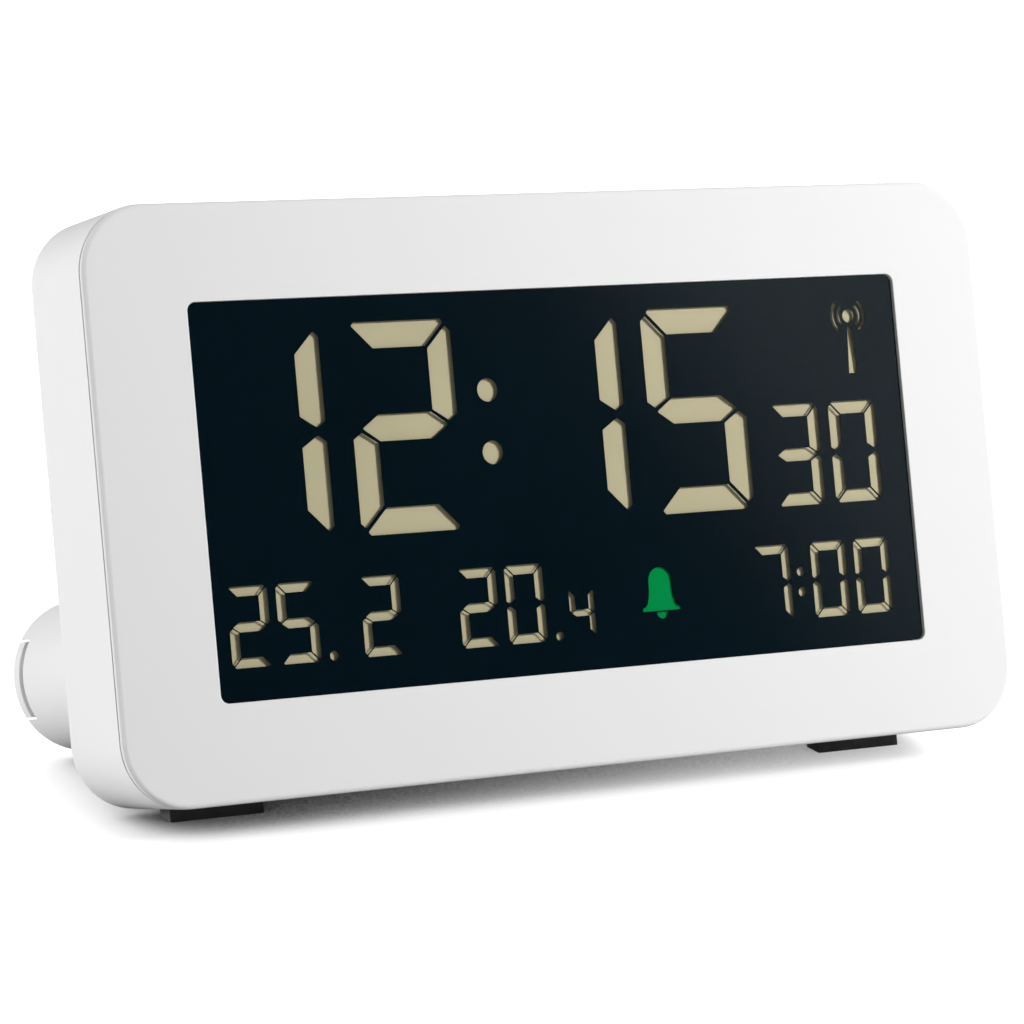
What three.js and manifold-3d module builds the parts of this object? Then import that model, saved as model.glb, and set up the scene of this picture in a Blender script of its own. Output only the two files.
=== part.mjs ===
// A digital alarm clock: a slim white slab with a dark display window, leaning back on a foot that
// holds the batteries. Sizes are in millimetres.
// Pieces are drawn in the face's own frame: x to the right, y backwards from the front face and z up
// along the face, with 0 at the middle of the face. The finished clock is then leaned back, so that it
// stands on its four rubber feet.
import * as THREE from 'three';
import Module from 'manifold-3d';
import { mergeVertices } from 'three/addons/utils/BufferGeometryUtils.js';

// Case
const caseWidth = 142;
const caseHeight = 79;
const slabDepth = 18;
const overallDepth = 42;
const cornerRadius = 9.2;
const caseWall = 2;
const sideDraft = 0.4; // how far each side wall draws in on its way to the rear face
const rearEdgeRadius = 1.5;
const bezelThickness = 2;
const bezelRim = 0.75; // thickness of the bezel's rim, which laps over the rear housing's front edge
const bezelChamfer = 0.6;
const seamWidth = 0.3;
const tongueDepth = 2.5; // the ridge behind the bezel that locates the rear housing
const tongueWall = 1.2;

// Clearances and joins
const clearance = 0.3; // between two pieces that sit or slide together
const weld = 0.5; // how far a feature sinks into the wall that it grows from
const overshoot = 1; // how far a cut runs past the surface that it opens

// Window and display
const windowSideMargin = 14.65; // from the case's side to the window
const windowEndMargin = 13.15; // from the case's top or bottom to the window
const windowCornerRadius = 1.2;
const lensRecess = 0.1;
const lensOverlap = 2.4; // how far the lens reaches behind the bezel
const lensFlangeThickness = 1;
const cellMargin = 2.9; // how far the display glass reaches past the window at each side
const cellRise = 1.9; // the same above and below
const filmThickness = 0.2;
const glassThickness = 2;
const guideThickness = 1.5;
const stripHeight = 1.7; // the elastomer contacts below the light guide
const ledWidth = 3;
const ledThickness = 1.4;
const frameWall = 1.5;
const earThickness = 3; // the display frame's ears, which the board's screws pass through
const earWall = 0.4; // from a board boss's edge to the ear's

// Main board
const boardThickness = 1.2;
const boardInset = 1.85; // from the display frame's side to the board's
const boardRise = 0.2; // how far the board reaches above and below the display frame
const boardTabWidth = 8;
const boardScrewInset = 20.85; // from the display frame's side to the screws
const boardScrewOffset = 2.6; // screw centre beyond the display frame's edge
const boardScrewRadius = 0.9;
const boardScrewHeadRadius = 1.9;
const boardScrewHeadHeight = 1.2;
const boardScrewLength = 6;
const boardBossRadius = 2.2;
const bossFloor = 0.5; // from the bezel's plate to the bottom of a boss's hole

// Parts on the board
const chipRow = -2; // height of their row along the face
const chipThickness = 1.4;
const controllerSize = 10;
const controllerX = 14;
const radioWidth = 6;
const radioHeight = 5;
const radioX = -16;
const crystalRadius = 1;
const crystalLength = 6;
const crystalX = -1;
const capacitorRadius = 2.5;
const capacitorHeight = 3.6;
const capacitorX = 28;

// Foot and batteries
const footEndRoom = 1; // from the battery bay's end wall to the start of the foot's round end
const footRadius = 10.4;
const footRise = 8.35; // from the case's bottom to the foot's underside
const footWall = 1.8;
const cellDiameter = 14.2;
const cellLength = 50;
const cellEdge = 0.6; // bevel at each end of a cell
const nubRadius = 2.7;
const nubLength = 1;
const springLength = 5.5;
const springTurns = 4;
const springWire = 0.7;
const springWideRadius = 4.6;
const springNarrowRadius = 2.6;
const plateThickness = 0.5;
const plateSize = 11;
const lugWidth = 3;
const lugReach = 0.8; // how far a terminal's lug comes through the bay's floor
const bayFloorThickness = 1.8;
const bayEndWall = 1.5;
const doorThickness = 2;
const doorLedge = 1;
const tabHalfHeight = 5.2;
const tabThickness = 2.2;
const tabSlot = 1.3; // the dark line between the door's tab and the foot
const hookHalfWidth = 3; // the hook at the door's right end, which goes under the foot's rim
const hookReach = 1.1;
const hookThickness = 1;
const hookDrop = 1; // from the rim's lip to the hook
const hookRoot = 2;
const wireRadius = 0.6;
const wireStraight = 2.5; // the stretch at each end that runs straight out
const wireRise = 2;
const wireLandingInset = 15; // from the board's side to a wire's end

// Controls
const buttonRadius = 3.2;
const buttonProud = 0.9;
const buttonTravel = 0.8;
const buttonPitch = 14;
const buttonDrop = 19.5; // from the case's top to the row of buttons
const buttonFlange = 0.9;
const buttonFlangeThickness = 1;
const stemRadius = 1.3;
const resetRadius = 1.3;
const resetSink = 0.6; // how far the reset button lies below the rear face
const resetDrop = 12; // reset button below the row
const switchSize = 4.5;
const switchHeight = 1.5;
const sliderTravel = 5;
const sliderLength = 5;
const sliderHeight = 3.2;
const sliderProud = 0.8;
const sliderGap = 20; // from the first button to the slider's middle
const sliderFlange = 1.4;
const sliderSwitchHeight = 1.9;
const snoozeLength = 54;
const snoozeWidth = 7;
const snoozeDepth = 9.8; // its centre behind the front face
const snoozeProud = 0.5;
const snoozeTravel = 0.8;
const snoozeFlange = 1.3;
const snoozeFlangeThickness = 1;
const snoozeStemWidth = 4;
const snoozeStemThickness = 1.5;

// Sounder, sensor and radio
const discRadius = 10;
const discThickness = 0.6;
const discGap = 18; // from the last button to the disc's middle
const ringWall = 1.2;
const ringHeight = 1.8;
const soundHoleRadius = 0.8;
const soundHoleRing = 4.5;
const soundHoleCount = 6;
const ventCount = 5;
const ventLength = 8;
const ventWidth = 1.2;
const ventPitch = 2.6;
const sensorRadius = 1.3;
const sensorLength = 2.2;
const sensorLegRadius = 0.4;
const sensorGap = 0.5; // from the sensor's bead to the rear wall
const rodLength = 60;
const rodRadius = 2.5;
const coilLength = 20;
const coilWinding = 0.6;
const rodDepth = 8; // its axis behind the front face
const saddleWidth = 2.4;
const saddleWall = 1;
const saddleFromEnd = 6;

// Case screws, from the rear into the bezel's bosses
const caseScrewRadius = 1.1;
const caseScrewHeadRadius = 2;
const caseScrewHeadHeight = 1.5;
const caseScrewLength = 9;
const caseBossRadius = 2.4;
const caseSleeveWall = 1; // round the screw's head
const caseSleeveFloor = 1.9; // under the screw's head
const upperScrewInset = 7.5; // from the case's side to the upper screws
const upperScrewDrop = 9; // from the case's top to the upper screws
const lowerScrewInset = 21; // from the case's side to the lower screws
const lowerScrewRise = 5.6; // from the case's bottom to the lower screws
const screwSink = 0.3;
const crossDepth = 0.6;
const crossLength = 1.3; // the cross's arms as a share of the head's radius
const crossWidth = 0.35; // their width as a share of it

// Rubber feet
const padProud = 0.6; // how far the case is held above the table
const padWidth = 14;
const frontPadLength = 3;
const rearPadLength = 5;
const frontPadInset = 19; // from the case's side to the pad's middle
const rearPadInset = 13; // from the start of the foot's round end to the pad's middle
const padEdge = 0.5; // from the rear edge of the surface that a pad sits under

// Roundness of the curves
const cornerSteps = 8;
const edgeSteps = 3;
const pillSteps = 18;
const bigRound = 36;
const smallRound = 20;
const tinyRound = 12;
const springSides = 5;
const springSteps = 8; // in each turn
const wireSides = 8;
const wireSteps = 14;

const wasm = await Module();
wasm.setup();

// Turns a closed geometry into a solid that can be joined and cut.
function toSolid(geometry) {
  const bare = geometry.index ? geometry.toNonIndexed() : geometry.clone();
  bare.deleteAttribute('normal');
  bare.deleteAttribute('uv');
  const merged = mergeVertices(bare, 1e-4);
  const vertProperties = merged.attributes.position.array;
  const triVerts = new Uint32Array(merged.index.array);
  return new wasm.Manifold(new wasm.Mesh({ numProp: 3, vertProperties, triVerts }));
}

function toGeometry(solid) {
  const { vertProperties, triVerts } = solid.getMesh();
  const geometry = new THREE.BufferGeometry();
  geometry.setAttribute('position', new THREE.BufferAttribute(vertProperties, 3));
  geometry.setIndex(new THREE.BufferAttribute(triVerts, 1));
  geometry.computeVertexNormals();
  return geometry;
}

function join(first, ...others) {
  return others.reduce((sum, next) => sum.add(next), first);
}

function cut(first, ...tools) {
  return tools.reduce((rest, tool) => rest.subtract(tool), first);
}

// Ranges along one axis
function span(middle, length) {
  return [middle - length / 2, middle + length / 2];
}

function ordered(a, b) {
  return a < b ? [a, b] : [b, a];
}

// The range of a cut that opens both ends of the given one.
function past([low, high]) {
  return [low - overshoot, high + overshoot];
}

// Basic shapes, each given by its range in the face's frame
function block(x, y, z) {
  const geometry = new THREE.BoxGeometry(x[1] - x[0], y[1] - y[0], z[1] - z[0]);
  geometry.translate((x[0] + x[1]) / 2, (y[0] + y[1]) / 2, (z[0] + z[1]) / 2);
  return toSolid(geometry);
}

// A round peg that runs backwards from y[0] to y[1].
function peg(x, z, radius, y, sides = smallRound) {
  const geometry = new THREE.CylinderGeometry(radius, radius, y[1] - y[0], sides);
  geometry.translate(x, (y[0] + y[1]) / 2, z);
  return toSolid(geometry);
}

// A round bar that runs along x.
function bar(y, z, radius, x) {
  const geometry = new THREE.CylinderGeometry(radius, radius, x[1] - x[0], smallRound);
  geometry.rotateZ(Math.PI / 2);
  geometry.translate((x[0] + x[1]) / 2, y, z);
  return toSolid(geometry);
}

function roundedShape(width, height, radius) {
  const shape = new THREE.Shape();
  const right = width / 2 - radius;
  const top = height / 2 - radius;
  shape.absarc(right, top, radius, 0, Math.PI / 2);
  shape.absarc(-right, top, radius, Math.PI / 2, Math.PI);
  shape.absarc(-right, -top, radius, Math.PI, Math.PI * 1.5);
  shape.absarc(right, -top, radius, Math.PI * 1.5, Math.PI * 2);
  return shape;
}

// A shape with two straight sides and two round ends.
function pillShape(halfSpan, radius) {
  const shape = new THREE.Shape();
  shape.absarc(halfSpan, 0, radius, -Math.PI / 2, Math.PI / 2);
  shape.absarc(-halfSpan, 0, radius, Math.PI / 2, Math.PI * 1.5);
  return shape;
}

// A flat shape drawn on the face and run backwards from y[0] to y[1].
function facePlate(shape, y, z = 0, steps = cornerSteps) {
  const options = { depth: y[1] - y[0], bevelEnabled: false, curveSegments: steps };
  const geometry = new THREE.ExtrudeGeometry(shape, options);
  geometry.rotateX(Math.PI / 2);
  geometry.translate(0, y[1], z);
  return toSolid(geometry);
}

// A flat shape drawn on the top wall, in x and y, and run upwards from z[0] to z[1].
function topPlate(shape, z, y) {
  const options = { depth: z[1] - z[0], bevelEnabled: false, curveSegments: cornerSteps };
  const geometry = new THREE.ExtrudeGeometry(shape, options);
  geometry.translate(0, y, z[0]);
  return toSolid(geometry);
}

// A profile of points in y and z, run across x around the given middle.
function sideProfile(points, x, width) {
  const shape = new THREE.Shape(points.map(([y, z]) => new THREE.Vector2(y, z)));
  const geometry = new THREE.ExtrudeGeometry(shape, { depth: width, bevelEnabled: false });
  const alongX = new THREE.Matrix4().makeBasis(
    new THREE.Vector3(0, 1, 0),
    new THREE.Vector3(0, 0, 1),
    new THREE.Vector3(1, 0, 0),
  );
  geometry.applyMatrix4(alongX);
  geometry.translate(x - width / 2, 0, 0);
  return toSolid(geometry);
}

// Points of a rounded rectangle, anticlockwise as seen from the front.
function outlinePoints({ width, height, radius }) {
  const points = [];
  const quarters = [[1, 1], [-1, 1], [-1, -1], [1, -1]];
  quarters.forEach(([sideX, sideZ], quarter) => {
    for (let step = 0; step <= cornerSteps; step += 1) {
      const angle = (quarter + step / cornerSteps) * Math.PI / 2;
      const x = sideX * (width / 2 - radius) + radius * Math.cos(angle);
      const z = sideZ * (height / 2 - radius) + radius * Math.sin(angle);
      points.push([x, z]);
    }
  });
  return points;
}

// A solid through rounded rectangles, each at its own depth y, from front to back.
function loft(sections) {
  const rings = sections.map(outlinePoints);
  const count = rings[0].length;
  const positions = [];
  rings.forEach((ring, index) => ring.forEach(([x, z]) => positions.push(x, sections[index].y, z)));
  positions.push(0, sections[0].y, 0);
  positions.push(0, sections.at(-1).y, 0);
  const frontCentre = rings.length * count;
  const rearCentre = frontCentre + 1;
  const lastRing = (rings.length - 1) * count;
  const faces = [];
  for (let i = 0; i < count; i += 1) {
    const next = (i + 1) % count;
    for (let ring = 0; ring < lastRing; ring += count) {
      faces.push(ring + i, ring + count + i, ring + next);
      faces.push(ring + next, ring + count + i, ring + count + next);
    }
    faces.push(frontCentre, i, next);
    faces.push(rearCentre, lastRing + next, lastRing + i);
  }
  const geometry = new THREE.BufferGeometry();
  geometry.setAttribute('position', new THREE.Float32BufferAttribute(positions, 3));
  geometry.setIndex(faces);
  return toSolid(geometry);
}

// A tube of the given radius along a curve
function tube(curve, radius, steps, sides) {
  const section = new THREE.Shape();
  for (let index = 0; index < sides; index += 1) {
    const angle = index / sides * Math.PI * 2;
    const point = [radius * Math.cos(angle), radius * Math.sin(angle)];
    if (index === 0) section.moveTo(...point);
    else section.lineTo(...point);
  }
  return toSolid(new THREE.ExtrudeGeometry(section, { steps, extrudePath: curve, curveSegments: 1 }));
}

// Depths of the case and the display's layers, from front to back
const housingFront = bezelRim + seamWidth;
const rearWallInside = slabDepth - caseWall;
const lensFlangeY = [bezelThickness + clearance, bezelThickness + clearance + lensFlangeThickness];
let depthSoFar = lensFlangeY[1];

function nextLayer(thickness) {
  const front = depthSoFar + clearance;
  depthSoFar = front + thickness;
  return [front, depthSoFar];
}

const frontPolariserY = nextLayer(filmThickness);
const glassY = nextLayer(glassThickness);
const rearPolariserY = nextLayer(filmThickness);
const guideY = nextLayer(guideThickness);
const reflectorY = nextLayer(filmThickness);
const boardY = nextLayer(boardThickness);
const partsOnBoardY = boardY[1] + clearance;
const frameY = [frontPolariserY[0], reflectorY[1]];

// Sizes across the display
const windowWidth = caseWidth - 2 * windowSideMargin;
const windowHeight = caseHeight - 2 * windowEndMargin;
const lensWidth = windowWidth + 2 * lensOverlap;
const lensHeight = windowHeight + 2 * lensOverlap;
const glassWidth = windowWidth + 2 * cellMargin;
const glassHeight = windowHeight + 2 * cellRise;
const frameInnerWidth = glassWidth + 2 * clearance;
const frameInnerHeight = glassHeight + 2 * clearance;
const frameOuterWidth = frameInnerWidth + 2 * frameWall;
const frameOuterHeight = frameInnerHeight + 2 * frameWall;
const boardWidth = frameOuterWidth - 2 * boardInset;
const boardHeight = frameOuterHeight + 2 * boardRise;
const guideWidth = glassWidth - 2 * (ledThickness + clearance);
const glassZ = span(0, glassHeight);
const guideZ = [glassZ[0] + stripHeight + 2 * clearance, glassZ[1] - clearance];

// How far the slab's outline has drawn in at depth y.
function insetAt(y) {
  return sideDraft * (y - housingFront) / (slabDepth - housingFront);
}

function slabSection(y, inset) {
  return {
    y,
    width: caseWidth - 2 * inset,
    height: caseHeight - 2 * inset,
    radius: cornerRadius - inset,
  };
}

function slabBody() {
  const sections = [slabSection(housingFront, 0)];
  for (let step = 0; step <= edgeSteps; step += 1) {
    const angle = step / edgeSteps * Math.PI / 2;
    const y = slabDepth - rearEdgeRadius * (1 - Math.sin(angle));
    sections.push(slabSection(y, insetAt(y) + rearEdgeRadius * (1 - Math.cos(angle))));
  }
  return loft(sections);
}

function slabHollow() {
  const front = housingFront - overshoot;
  return loft([front, rearWallInside].map((y) => slabSection(y, insetAt(y) + caseWall)));
}

// Places of the screws
const upperScrewX = caseWidth / 2 - upperScrewInset;
const upperScrewZ = caseHeight / 2 - upperScrewDrop;
const lowerScrewX = caseWidth / 2 - lowerScrewInset;
const lowerScrewZ = lowerScrewRise - caseHeight / 2;
const caseScrews = [
  { place: 'upper_left', x: -upperScrewX, z: upperScrewZ },
  { place: 'upper_right', x: upperScrewX, z: upperScrewZ },
  { place: 'lower_left', x: -lowerScrewX, z: lowerScrewZ },
  { place: 'lower_right', x: lowerScrewX, z: lowerScrewZ },
];
const boardScrewZ = frameOuterHeight / 2 + boardScrewOffset;
const boardScrews = [];
for (const z of [boardScrewZ, -boardScrewZ]) {
  for (const x of span(0, frameOuterWidth - 2 * boardScrewInset)) {
    boardScrews.push({ x, z });
  }
}

// Case screws: the head lies in a counterbore of the rear wall.
const caseHeadY = [slabDepth - screwSink - caseScrewHeadHeight, slabDepth - screwSink];
const counterboreFloor = caseHeadY[0] - clearance;
const caseSleeveFront = counterboreFloor - caseSleeveFloor;
const caseBossEnd = caseSleeveFront - clearance;

// Board screws: the head presses the board and the display frame onto the bezel's short bosses.
const boardHeadY = [boardY[1] + clearance, boardY[1] + clearance + boardScrewHeadHeight];
const earY = [frameY[1] - earThickness, frameY[1]];
const boardBossEnd = earY[0] - clearance;

// How far the parts of the bezel that sit inside the rear housing are drawn in.
const tongueInset = caseWall + clearance + insetAt(bezelThickness + tongueDepth);

// The bezel's plate: a thin rim round a thicker middle
function bezelPlate() {
  const front = slabSection(0, bezelChamfer);
  const edge = slabSection(bezelChamfer, 0);
  const rim = loft([front, edge, slabSection(bezelRim, 0)]);
  const middle = loft([bezelRim - weld, bezelThickness].map((y) => slabSection(y, tongueInset)));
  const opening = roundedShape(windowWidth, windowHeight, windowCornerRadius);
  return cut(join(rim, middle), facePlate(opening, past([0, bezelThickness])));
}

// The ridge behind the bezel, opened where the display passes it
function bezelTongue() {
  const y = [bezelThickness - weld, bezelThickness + tongueDepth];
  const outer = loft(y.map((depth) => slabSection(depth, tongueInset)));
  const inner = loft(past(y).map((depth) => slabSection(depth, tongueInset + tongueWall)));
  const room = roundedShape(lensWidth + 2 * clearance, lensHeight + 2 * clearance, windowCornerRadius);
  return cut(outer, inner, facePlate(room, [bezelThickness, frameY[1]]));
}

function frontBezel() {
  const bosses = [];
  const bores = [];
  const floor = bezelThickness + bossFloor;
  for (const { x, z } of caseScrews) {
    bosses.push(peg(x, z, caseBossRadius, [bezelThickness - weld, caseBossEnd]));
    bores.push(peg(x, z, caseScrewRadius + clearance, [floor, caseBossEnd + overshoot]));
  }
  for (const { x, z } of boardScrews) {
    bosses.push(peg(x, z, boardBossRadius, [bezelThickness - weld, boardBossEnd]));
    bores.push(peg(x, z, boardScrewRadius + clearance, [floor, boardBossEnd + overshoot]));
  }
  return cut(join(bezelPlate(), bezelTongue(), ...bosses), ...bores);
}

function windowLens() {
  const gap = 2 * clearance;
  const pane = roundedShape(windowWidth - gap, windowHeight - gap, windowCornerRadius - clearance);
  const flange = roundedShape(lensWidth, lensHeight, windowCornerRadius);
  return join(facePlate(pane, [lensRecess, lensFlangeY[0] + weld]), facePlate(flange, lensFlangeY));
}

// Antenna: a ferrite rod with a coil at its middle, under the display
const rodZ = -(frameOuterHeight / 2 + clearance + coilWinding + clearance + rodRadius);

function antennaCoil() {
  const x = span(0, coilLength);
  const inner = rodRadius + clearance;
  return cut(bar(rodDepth, rodZ, inner + coilWinding, x), bar(rodDepth, rodZ, inner, past(x)));
}

// Display frame: a ring round the display's layers, with ears for the screws and saddles for the rod
function displayFrame() {
  const outer = block(span(0, frameOuterWidth), frameY, span(0, frameOuterHeight));
  const inner = block(span(0, frameInnerWidth), past(frameY), span(0, frameInnerHeight));
  const wallMiddle = frameOuterHeight / 2 - frameWall / 2;
  const earRadius = boardBossRadius + earWall;
  const added = [];
  const bores = [];
  for (const { x, z } of boardScrews) {
    added.push(peg(x, z, earRadius, earY));
    added.push(block(span(x, 2 * earRadius), earY, ordered(Math.sign(z) * wallMiddle, z)));
    bores.push(peg(x, z, boardScrewRadius + clearance, past(earY)));
  }
  const saddleY = [rodDepth - rodRadius - clearance - saddleWall, frameY[1]];
  for (const x of span(0, rodLength - 2 * saddleFromEnd)) {
    added.push(block(span(x, saddleWidth), saddleY, [rodZ, -wallMiddle]));
  }
  bores.push(bar(rodDepth, rodZ, rodRadius + clearance, span(0, rodLength)));
  return cut(join(cut(outer, inner), ...added), ...bores);
}

// Main board with a tab for each of its screws
function mainBoard() {
  const tabs = [];
  const bores = [];
  for (const { x, z } of boardScrews) {
    const side = Math.sign(z);
    const tabZ = ordered(side * (boardHeight / 2 - weld), z + side * boardBossRadius);
    tabs.push(block(span(x, boardTabWidth), boardY, tabZ));
    bores.push(peg(x, z, boardScrewRadius + clearance, past(boardY)));
  }
  return cut(join(block(span(0, boardWidth), boardY, span(0, boardHeight)), ...tabs), ...bores);
}

// A screw with a cross in its head, at the rear end of the shank
function screw({ x, z }, shankRadius, headRadius, headY, length) {
  const shank = peg(x, z, shankRadius, [headY[0] - length, headY[0] + weld]);
  const crossY = [headY[1] - crossDepth, headY[1] + overshoot];
  const long = headRadius * crossLength;
  const narrow = headRadius * crossWidth;
  const armX = block(span(x, long), crossY, span(z, narrow));
  const armZ = block(span(x, narrow), crossY, span(z, long));
  return cut(join(peg(x, z, headRadius, headY), shank), armX, armZ);
}

// Foot: the battery bay's depths, from the door forwards
const footBottomZ = footRise - caseHeight / 2;
const footZ = footBottomZ + footRadius;
const doorY = [overallDepth - doorThickness, overallDepth];
const ledgeY = doorY[0] - clearance;
const bayRadius = cellDiameter / 2 + clearance;
const cellAxisY = ledgeY - cellDiameter / 2;
const bayFloorY = [cellAxisY - bayRadius - bayFloorThickness, cellAxisY - bayRadius];
const doorOpening = bayRadius + doorLedge;
const doorRadius = doorOpening - clearance;

// The battery bay's lengths, from its left end wall
const terminalRoom = plateThickness + 2 * clearance;
const bayLength = 2 * terminalRoom + springLength + 2 * clearance + 2 * cellLength;
const negativePlateX = span(-bayLength / 2 + clearance + plateThickness / 2, plateThickness);
const positivePlateX = span(bayLength / 2 - clearance - plateThickness / 2, plateThickness);
const springX = [negativePlateX[1] + clearance, negativePlateX[1] + clearance + springLength];
const leftCellX = springX[1] + clearance;
const rightCellX = leftCellX + cellLength + clearance;
const footHalfSpan = bayLength / 2 + bayEndWall + footEndRoom; // to the centre of each round end

function footPill(radius, y) {
  return facePlate(pillShape(footHalfSpan, radius), y, footZ, pillSteps);
}

// Door: a pill-shaped cover with a finger tab at its left end and a hook at its right end
const footEndX = footHalfSpan + footRadius;
const doorEndX = footHalfSpan + doorRadius;
const tabY = [overallDepth - tabThickness, overallDepth];
const hookY = [ledgeY - hookDrop - hookThickness, ledgeY - hookDrop];
const hookTip = doorEndX + hookReach - clearance;

function batteryDoor() {
  const tabX = [-footEndX - overshoot, -footHalfSpan];
  const tabRoom = block(tabX, past(tabY), span(footZ, 2 * tabHalfHeight));
  const tab = footPill(footRadius, tabY).intersect(tabRoom);
  const hookZ = span(footZ, 2 * hookHalfWidth);
  const rootEnd = doorEndX - doorLedge - 2 * clearance;
  const root = block([rootEnd - hookRoot, rootEnd], [hookY[0], doorY[0] + weld], hookZ);
  const hook = block([rootEnd - hookRoot, hookTip], hookY, hookZ);
  return join(footPill(doorRadius, doorY), tab, root, hook);
}

// Places of the controls on the rear wall, as seen from the front
const buttonNames = ['plus', 'minus', 'set', 'alarm', 'wave'];
const buttonRow = caseHeight / 2 - buttonDrop;
const rowEnd = (buttonNames.length - 1) / 2 * buttonPitch;
const sliderX = -rowEnd - sliderGap;
const discX = rowEnd + discGap;
const buttons = buttonNames.map((name, index) => {
  return { name, x: index * buttonPitch - rowEnd, z: buttonRow, radius: buttonRadius, proud: buttonProud };
});
buttons.push({ name: 'reset', x: 0, z: buttonRow - resetDrop, radius: resetRadius, proud: -resetSink });
const switchTop = partsOnBoardY + switchHeight;

// A button: its cap comes through the rear wall, its flange keeps it in, and its stem meets the switch.
function pushButton({ x, z, radius, proud }) {
  const flangeY = [rearWallInside - clearance - buttonFlangeThickness, rearWallInside - clearance];
  const cap = peg(x, z, radius, [flangeY[1] - weld, slabDepth + proud], bigRound);
  const flange = peg(x, z, radius + buttonFlange, flangeY);
  const stem = peg(x, z, stemRadius, [switchTop + clearance + buttonTravel, flangeY[0] + weld]);
  return join(cap, flange, stem);
}

function boardSwitch({ x, z }) {
  return block(span(x, switchSize), [partsOnBoardY, switchTop], span(z, switchSize));
}

// The alarm slider rests at its left stop as seen from the front.
const sliderKnobX = span(sliderX, sliderLength);
const sliderSwitchTop = partsOnBoardY + sliderSwitchHeight;

function alarmSlider() {
  const flangeY = [sliderSwitchTop + clearance, rearWallInside - clearance];
  const knobY = [flangeY[1] - weld, slabDepth + sliderProud];
  const knob = block(sliderKnobX, knobY, span(buttonRow, sliderHeight));
  const flangeX = span(sliderX, sliderLength + 2 * sliderFlange);
  const flange = block(flangeX, flangeY, span(buttonRow, sliderHeight + 2 * sliderFlange));
  return join(knob, flange);
}

function slideSwitch() {
  const x = [sliderKnobX[0], sliderKnobX[1] + sliderTravel];
  return block(x, [partsOnBoardY, sliderSwitchTop], span(buttonRow, switchSize));
}

// The snooze bar lies in the top wall. Its stem comes down to a switch at the board's top edge.
const snoozeTop = caseHeight / 2 - insetAt(snoozeDepth) + snoozeProud;
const snoozeHalfSpan = (snoozeLength - snoozeWidth) / 2;
const snoozeFlangeRadius = snoozeWidth / 2 + snoozeFlange;
const topWallInside = caseHeight / 2 - caseWall - insetAt(snoozeDepth + snoozeFlangeRadius);
const snoozeFlangeZ = [topWallInside - clearance - snoozeFlangeThickness, topWallInside - clearance];
const snoozeSwitchTop = boardHeight / 2;
const snoozeStemY = [partsOnBoardY, partsOnBoardY + snoozeStemThickness];

function snoozeBar() {
  const topZ = [snoozeFlangeZ[1] - weld, snoozeTop];
  const top = topPlate(pillShape(snoozeHalfSpan, snoozeWidth / 2), topZ, snoozeDepth);
  const flange = topPlate(pillShape(snoozeHalfSpan, snoozeFlangeRadius), snoozeFlangeZ, snoozeDepth);
  const stemZ = [snoozeSwitchTop + clearance + snoozeTravel, snoozeFlangeZ[0] + weld];
  return join(top, flange, block(span(0, snoozeStemWidth), snoozeStemY, stemZ));
}

function snoozeSwitch() {
  return block(span(0, switchSize), snoozeStemY, [snoozeSwitchTop - switchSize, snoozeSwitchTop]);
}

// The vents lie between the alarm slider and the foot, behind the temperature sensor.
const ventZ = (buttonRow - sliderHeight + footZ + footRadius) / 2;

// Rear housing: the slab's shell and the foot in one moulding
function rearHousing() {
  const body = slabBody();
  const foot = footPill(footRadius, [rearWallInside, overallDepth]);
  const sleeveRadius = caseScrewHeadRadius + clearance + caseSleeveWall;
  const sleeves = caseScrews.map(({ x, z }) => {
    return peg(x, z, sleeveRadius, [caseSleeveFront, rearWallInside + weld]).intersect(body);
  });
  const shell = join(cut(body, slabHollow()), foot, sounderRing(), ...sleeves);
  return cut(shell, ...footHollows(), ...doorSeat(), ...wallOpenings(), ...screwHoles());
}

// The ring inside the rear wall that holds the sounder's disc
function sounderRing() {
  const ringFront = rearWallInside - ringHeight;
  const inner = discRadius + clearance;
  const outer = peg(discX, buttonRow, inner + ringWall, [ringFront, rearWallInside + weld], bigRound);
  return cut(outer, peg(discX, buttonRow, inner, [ringFront - overshoot, rearWallInside], bigRound));
}

// The room in front of the battery bay, the bay between its end walls, and the slots for the lugs
function footHollows() {
  const room = footPill(footRadius - footWall, [rearWallInside - overshoot, bayFloorY[0]]);
  const endWalls = [-1, 1].map((side) => {
    const x = ordered(side * bayLength / 2, side * (bayLength / 2 + bayEndWall));
    return block(x, [bayFloorY[0], ledgeY], span(footZ, 2 * footRadius));
  });
  const bay = cut(footPill(bayRadius, [bayFloorY[1], overallDepth]), ...endWalls);
  const slotZ = span(footZ, lugWidth + 2 * clearance);
  const slots = [negativePlateX, positivePlateX].map(([low, high]) => {
    return block([low - clearance, high + clearance], past(bayFloorY), slotZ);
  });
  return [room, bay, ...slots];
}

// The seat of the door: its opening, the notch for the tab and the pocket for the hook
function doorSeat() {
  const opening = footPill(doorOpening, [ledgeY, overallDepth + overshoot]);
  const notchX = [-footEndX - overshoot, -footHalfSpan];
  const notchY = [tabY[0] - tabSlot, overallDepth + overshoot];
  const notch = block(notchX, notchY, span(footZ, 2 * (tabHalfHeight + clearance)));
  const pocketZ = span(footZ, 2 * (hookHalfWidth + clearance));
  const pocketFront = hookY[0] - 2 * clearance;
  const pocket = block([footHalfSpan, hookTip + clearance], [pocketFront, hookY[1] + clearance], pocketZ);
  const ledgeCut = block([footHalfSpan, doorEndX], [pocketFront, ledgeY + weld], pocketZ);
  return [opening, notch, pocket, ledgeCut];
}

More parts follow.
